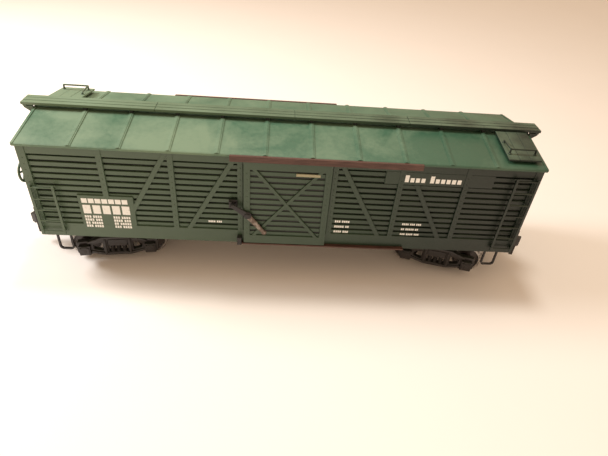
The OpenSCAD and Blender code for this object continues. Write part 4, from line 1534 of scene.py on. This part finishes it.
class BOXCAR_OT_underframe(bpy.types.Operator):
    """Underframe, floor, weight and kingpins"""

    bl_idname = "boxcar.underframe"
    bl_label = "Underframe"

    def execute(self, context):
        refined("underframe", coat("black"), "car_body", 0.1)
        refined("floor", coat("floor"), "car_body", 0.05)
        refined("weight", coat("steel"), "car_body", 0.1)
        refined("kingpins", coat("steel"), "car_body", 0.05)
        return {"FINISHED"}


# ---------------------------------------------------------------- trucks

WHEELBASE = (
    Vector(joint("wheelset_a1_roll")["pos_m"]) - Vector(joint("wheelset_a2_roll")["pos_m"])
).length / MM
FLANGE_R = AXLE_Z
TREAD_R = FLANGE_R - 0.6
WHEEL_IN = 7.2
FRAME_IN = WHEEL_IN + 4.4
FRAME_OUT = FRAME_IN + 1.6


def at_truck(end):
    """A truck's own place: its kingpin at the origin, its axles across X."""
    kingpin = joint(f"truck_{end}_swivel")["pos_m"]
    axle = joint(f"wheelset_{end}1_roll")["axis"]
    swing = Matrix.Rotation(math.atan2(-axle[0], axle[1]), 4, "Z")
    return Matrix.Translation((kingpin[0] / MM, 0, 0)) @ swing


class BOXCAR_OT_trucks(bpy.types.Operator):
    """Truck side frames with journal boxes and springs, bolsters and coupler pockets"""

    bl_idname = "boxcar.trucks"
    bl_label = "Trucks"

    def execute(self, context):
        for end in ("a", "b"):
            body = f"truck_{end}"
            for side, turn in SIDES.items():
                place = at_truck(end) @ turn
                node = f"{body}_sideframe_{side}"
                piece(
                    node + "_casting",
                    self.casting(place),
                    coat("truck"),
                    body,
                    [node],
                    bevel=0.06,
                )
                mesh = mesh_of(self.journal_boxes(), "boxes", place)
                piece(node + "_boxes", mesh, coat("truck"), body, bevel=0.14)
                self.springs(node, place, body)
                self.bolts(node, place, body)
            refined(body + "_bolster", coat("truck"), body, 0.12)
            refined(body + "_coupler_lid", coat("truck"), body, 0.1)
            self.lid_screw(end, body)
        return {"FINISHED"}

    @staticmethod
    def casting(place):
        """A cast side frame: a pierced plate with raised chords along its top and bottom."""
        half = [
            (4.4, 10.1), (7.8, 8.5), (11.6, 8.3), (12, 7.7), (12, 4.3), (11.3, 3.5), (8, 3.5), (7.2, 3.9)
        ]
        half += [(4.5, 3.3), (3.6, 3)]
        outer = [(-x, z) for x, z in half] + [(x, z) for x, z in reversed(half)]
        spring_window = [(-2.9, 4), (2.9, 4), (2.9, 8.7), (-2.9, 8.7)]
        side_window = [(4.4, 7.8), (7.2, 6.9), (7.2, 5.3), (4.4, 4.4)]
        windows = [loop(side_window, 0.4), loop([(-x, z) for x, z in side_window], 0.4)]
        middle = -(FRAME_IN + FRAME_OUT) / 2
        bm = flat_part([loop(outer, 0.3)] + windows + [loop(spring_window, 0.35)], 1.6, 0.12)
        bm.transform(Matrix.Translation((0, middle, 0)))
        chords = [
            ([(-8.4, 7.95), (-4.3, 9.62), (4.3, 9.62), (8.4, 7.95)], 0.42),
            ([(-7.8, 4.6), (-3.8, 3.5), (3.8, 3.5), (7.8, 4.6)], 0.44),
            ([(-3.65, 8.9), (-3.65, 3.9)], 0.36),
            ([(3.65, 8.9), (3.65, 3.9)], 0.36),
        ]
        for path, half_width in chords:
            points = [Vector(p) for p in path]
            chord = flat_part([strap_outline(points, [half_width] * len(points))], 0.7, 0.16)
            merge_into(bm, chord, Matrix.Translation((0, -FRAME_OUT - 0.1, 0)))
        block(bm, (-2.6, -FRAME_OUT - 0.3, 3.1), (2.6, -FRAME_IN - 0.05, 4.1))
        return mesh_of(bm, "casting", place)

    @staticmethod
    def journal_boxes():
        """Journal boxes with sloped lids, hinge lugs and a round boss."""
        bm = bmesh.new()
        face = FRAME_OUT + 1.1
        for s in (-1, 1):
            x = s * WHEELBASE / 2
            block(bm, (x - 1.65, -face, AXLE_Z - 1.55), (x + 1.65, -FRAME_IN - 0.4, AXLE_Z + 1.85))
            lid = [(-face - 0.14, AXLE_Z - 1.25), (-face - 0.3, AXLE_Z + 1.25), (-face + 0.1, AXLE_Z + 1.35)]
            prism(bm, lid + [(-face + 0.1, AXLE_Z - 1.25)], x - 1.3, x + 1.3, "x")
            tube(bm, [(x - 0.8, -face - 0.05, AXLE_Z + 1.55), (x + 0.8, -face - 0.05, AXLE_Z + 1.55)], 0.26)
            boss = [(0, 0), (0.62, 0), (0.55, 0.14), (0, 0.16)]
            lathe(
                bm, boss, 20,
                Matrix.Translation((x, -face - 0.2, AXLE_Z)) @ Matrix.Rotation(math.pi / 2, 4, "X")
            )
        return bm

    @staticmethod
    def springs(node, place, body):
        """Coil springs in the window below the bolster."""
        feet = [(x, y, 4.1) for x in (-1.75, 0, 1.75) for y in (-FRAME_OUT + 0.55, -FRAME_IN - 0.5)]
        values = {
            "Turns": 3.5,
            "Radius": 0.52 * MM,
            "Height": 2.35 * MM,
            "Wire": 0.17 * MM,
            "Material": coat("truck"),
        }
        mesh = grow(shared_tree("Coil springs", spring_tree), points_mesh(feet), values)
        piece(node + "_springs", turned_mesh(mesh, place), None, body, smooth=60)

    @staticmethod
    def bolts(node, place, body):
        face = -FRAME_OUT - 0.42
        heads = [
            (s * x, face, z) for s in (-1, 1) for x, z in ((3.65, 8.6), (3.65, 3.6), (6.1, 9.0), (6.2, 4.15))
        ]
        spots = [place @ Vector(h) for h in heads]
        studs(node + "_bolts", spots, 0.24, (1, 1, 1), "truck", WHOLE, body)

    @staticmethod
    def lid_screw(end, body):
        """The screw that holds the coupler pocket's lid."""
        high = box_mm(f"{body}_coupler_lid")[1]
        place = at_truck(end) @ (WHOLE if end == "a" else HALF_TURN)
        pivot = place.inverted() @ (Vector(joint(f"coupler_{end}_swing")["pos_m"]) / MM)
        bm = bmesh.new()
        head = [(0, 0), (0.95, 0), (0.9, 0.1), (0.55, 0.22), (0, 0.26)]
        lathe(bm, head, 24, place @ Matrix.Translation((pivot.x, 0, high.z - 0.02)))
        piece(body + "_lid_screw", mesh_of(bm, "screw"), coat("steel"), body, smooth=40)


class BOXCAR_OT_wheels(bpy.types.Operator):
    """Wheelsets: dished wheels with rubbed treads on needle-pointed axles"""

    bl_idname = "boxcar.wheels"
    bl_label = "Wheels"

    def execute(self, context):
        a, w, f, t = WHEEL_IN, 2.8, FLANGE_R, TREAD_R
        web = [(0.9, a), (2, a), (2, a + 0.5), (t - 0.75, a + 0.5), (t - 0.75, a + w - 0.95)]
        web += [(2.7, a + w - 0.85), (2.1, a + w - 0.65), (1.85, a + w - 0.05), (1.7, a + w), (0.9, a + w)]
        rim = [(t - 0.9, a), (f - 0.35, a), (f - 0.06, a + 0.18), (f, a + 0.32), (f - 0.08, a + 0.56)]
        rim += [(t + 0.16, a + 0.76), (t + 0.04, a + 0.9), (t - 0.05, a + w - 0.2), (t - 0.1, a + w - 0.06)]
        rim += [(t - 0.2, a + w), (t - 0.72, a + w), (t - 0.8, a + w - 0.1), (t - 0.96, a + w - 1)]
        hub, seat, journal, tip = 1.0, 0.9, 0.7, a + w + 2.9
        half = [(hub, a), (seat, a), (seat, a + w + 0.15), (journal, a + w + 0.25), (journal, a + w + 1.4)]
        half += [(0.08, tip), (0, tip)]
        axle = [(r, -h) for r, h in reversed(half)] + [(hub * 0.92, -a + 1.2), (hub * 0.92, a - 1.2)] + half
        for end in ("a", "b"):
            for number, out in ((1, 1), (2, -1)):
                sign = out if end == "a" else -out
                place = at_truck(end) @ Matrix.Translation((sign * WHEELBASE / 2, 0, AXLE_Z))
                body = f"wheelset_{end}{number}"
                sides = [place @ Matrix.Rotation(math.pi / 2, 4, "X")]
                sides.append(place @ HALF_TURN @ Matrix.Rotation(math.pi / 2, 4, "X"))
                self.turned(
                    f"{body}_webs", web, sides, 72, "wheel", body, "wheel_brown", [f"wheels_{end}{number}"]
                )
                self.turned(f"{body}_treads", rim, sides, 96, "tread", body, "wheel_brown")
                bm = bmesh.new()
                lathe(bm, axle, 32, sides[0])
                mesh = mesh_of(bm, "axle")
                node = f"axle_{end}{number}"
                piece(node + "_turned", mesh, coat("steel"), body, [node], smooth=40)
        return {"FINISHED"}

    @staticmethod
    def turned(name, profile, sides, steps, finish, body, slot, nodes=()):
        bm = bmesh.new()
        for side in sides:
            ring_lathe(bm, profile, steps, side)
        piece(name, mesh_of(bm, name), coat(finish), body, nodes, smooth=32)


class BOXCAR_OT_couplers(bpy.types.Operator):
    """Horn-hook couplers"""

    bl_idname = "boxcar.couplers"
    bl_label = "Couplers"

    def execute(self, context):
        for end in ("a", "b"):
            refined(f"coupler_{end}", coat("truck"), f"coupler_{end}", 0.16)
        return {"FINISHED"}


# ---------------------------------------------------------------- printed marks


def print_row(bm, left, low, tall, words, face, proud=0.03, wide=0.62, small=1.0):
    """A row of plain blocks in groups, where the car has lines of print; small lowers all but each first."""
    x = left
    for count in words:
        for i in range(count):
            high = low + tall * (small if i else 1.0)
            block(bm, (x, -face - proud, low), (x + tall * wide, -face + 0.1, high))
            x += tall * (wide + 0.2)
        x += tall * 0.45


class BOXCAR_OT_marks(bpy.types.Operator):
    """Plain printed blocks in place of the car's lines of print"""

    bl_idname = "boxcar.marks"
    bl_label = "Printed marks"

    def execute(self, context):
        rows = slat_rows(slat_low(), slat_high())
        number = BOXCAR_OT_sides.number_board()
        name = BOXCAR_OT_sides.name_board()
        for side, place in SIDES.items():
            bm = bmesh.new()
            face = POST_Y - 0.02
            left = number[0] + 0.9
            print_row(bm, left, number[3] - 2.5, 1.5, [7], face, wide=1.03)
            print_row(bm, left, number[3] - 6.1, 2.9, [5], face, wide=0.73)
            for line, words in enumerate(([3, 4], [4, 3], [2, 5], [3, 4])):
                for start in (left, left + 8):
                    print_row(bm, start, number[3] - 7.6 - line * 1.1, 0.8, words, face, wide=0.6)
            print_row(bm, name[0] + 5.5, name[2] + 0.9, 2.2, [4, 6], POST_Y - 0.12, 0.05, 0.5, 0.62)
            slat_face = SLAT_Y
            for line, words in enumerate(([4, 3], [5, 2], [3, 4])):
                print_row(bm, DOOR_POST_X + 1.6, rows[line] - 0.36, 0.72, words, slat_face)
            first = DOOR_POST_X + bay() + 3.2
            for line, words in enumerate(([3, 4, 3], [2, 5, 2], [4, 3, 3])):
                print_row(bm, first, rows[line] - 0.32, 0.64, words, slat_face)
            print_row(bm, -DOOR_POST_X - bay() * 0.5, rows[1] - 0.32, 0.64, [4, 3], slat_face)
            mesh = mesh_of(bm, "marks", place)
            piece(f"printed_marks_{side}", mesh, coat("ink"), "car_body")
        return {"FINISHED"}


# ---------------------------------------------------------------- stage


class BOXCAR_OT_stage(bpy.types.Operator):
    """Pale floor, soft lights and the camera"""

    bl_idname = "boxcar.stage"
    bl_label = "Stage"

    def execute(self, context):
        self.floor()
        self.lamp("Key", (0.0, 0.055, 0.36), (0, 0, 0.02), 0.06, 0.45, "#fffaf2")
        self.lamp("Window", (-0.33, 0.05, 0.25), (-0.05, 0, 0.02), 0.15, 1.6, "#fdfdff")
        self.sky(context)
        self.camera(context)
        return {"FINISHED"}

    @staticmethod
    def floor():
        """A sheet of paper that curves up behind the car."""
        radius, back, front, wide, tall = 0.25, 0.9, -0.9, 1.6, 0.9
        profile = [(front, 0.0), (back, 0.0)]
        for i in range(1, 13):
            turn = math.pi / 2 * i / 12
            profile.append((back + radius * math.sin(turn), radius * (1 - math.cos(turn))))
        profile.append((back + radius, tall))
        bm = bmesh.new()
        rows = [[bm.verts.new((x, y, z)) for x in (-wide, wide)] for y, z in profile]
        for a, b in zip(rows, rows[1:]):
            bm.faces.new((a[0], a[1], b[1], b[0]))
        mesh = bpy.data.meshes.new("stage_floor")
        bm.to_mesh(mesh)
        bm.free()
        for face in mesh.polygons:
            face.use_smooth = True
        mesh.materials.append(coat("stage"))
        floor = bpy.data.objects.new("stage_floor", mesh)
        bpy.context.scene.collection.objects.link(floor)

    @staticmethod
    def lamp(name, spot, target, side, watts, code):
        light = bpy.data.lights.new(name, "AREA")
        light.shape = "DISK"
        light.size = side
        light.energy = watts
        light.color = hex_colour(code)[:3]
        lamp = bpy.data.objects.new(name, light)
        lamp.location = spot
        lamp.rotation_euler = (Vector(target) - Vector(spot)).to_track_quat("-Z", "Y").to_euler()
        bpy.context.scene.collection.objects.link(lamp)

    @staticmethod
    def sky(context):
        world = bpy.data.worlds.new("Room")
        world.use_nodes = True
        shade = world.node_tree.nodes["Background"]
        shade.inputs["Color"].default_value = hex_colour("#ffdfc0")
        shade.inputs["Strength"].default_value = 0.75
        context.scene.world = world
        context.scene.view_settings.view_transform = "Standard"

    @staticmethod
    def camera(context):
        """Low over the right side, a little left of the middle, close enough for strong perspective."""
        turn, tilt, roll = (math.radians(a) for a in (-4.735, 37.101, -5.225))
        data = bpy.data.cameras.new("Camera")
        data.sensor_width = 36
        data.lens = 28.685
        data.clip_start = 0.005
        camera = bpy.data.objects.new("Camera", data)
        spot = Matrix.Translation((-0.003742, -0.130921, 0.10557))
        aim = Matrix.Rotation(turn, 4, "Z") @ Matrix.Rotation(math.pi / 2 - tilt, 4, "X")
        camera.matrix_world = spot @ aim @ Matrix.Rotation(-roll, 4, "Z")
        context.scene.collection.objects.link(camera)
        context.scene.camera = camera


# ---------------------------------------------------------------- panel and registration

STEPS = (
    BOXCAR_OT_stage,
    BOXCAR_OT_sides,
    BOXCAR_OT_ends,
    BOXCAR_OT_roof,
    BOXCAR_OT_roof_walk,
    BOXCAR_OT_platforms,
    BOXCAR_OT_doors,
    BOXCAR_OT_door_gear,
    BOXCAR_OT_ladders,
    BOXCAR_OT_brake_gear,
    BOXCAR_OT_underframe,
    BOXCAR_OT_trucks,
    BOXCAR_OT_wheels,
    BOXCAR_OT_couplers,
    BOXCAR_OT_marks,
)


class BOXCAR_PT_panel(bpy.types.Panel):
    """Sizes, colours and the steps that build the car"""

    bl_label = "Slatted Box Car"
    bl_idname = "BOXCAR_PT_panel"
    bl_space_type = "VIEW_3D"
    bl_region_type = "UI"
    bl_category = "Box Car"

    def draw(self, context):
        for title, group in (("Sizes", sizes()), ("Colours", context.scene.boxcar_colours)):
            box = self.layout.box()
            box.label(text=title)
            for name in group.bl_rna.properties.keys():
                if name not in ("rna_type", "name"):
                    box.prop(group, name)
        for step in STEPS:
            self.layout.operator(step.bl_idname)


CLASSES = (BoxcarSizes, BoxcarColours, *STEPS, BOXCAR_PT_panel)


def register():
    for cls in CLASSES:
        bpy.utils.register_class(cls)
    bpy.types.Scene.boxcar_sizes = PointerProperty(type=BoxcarSizes)
    bpy.types.Scene.boxcar_colours = PointerProperty(type=BoxcarColours)


def unregister():
    del bpy.types.Scene.boxcar_colours
    del bpy.types.Scene.boxcar_sizes
    for cls in reversed(CLASSES):
        bpy.utils.unregister_class(cls)


def main():
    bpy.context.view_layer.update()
    register()
    for step in STEPS:
        group, name = step.bl_idname.split(".")
        getattr(getattr(bpy.ops, group), name)()


if __name__ == "__main__":
    main()
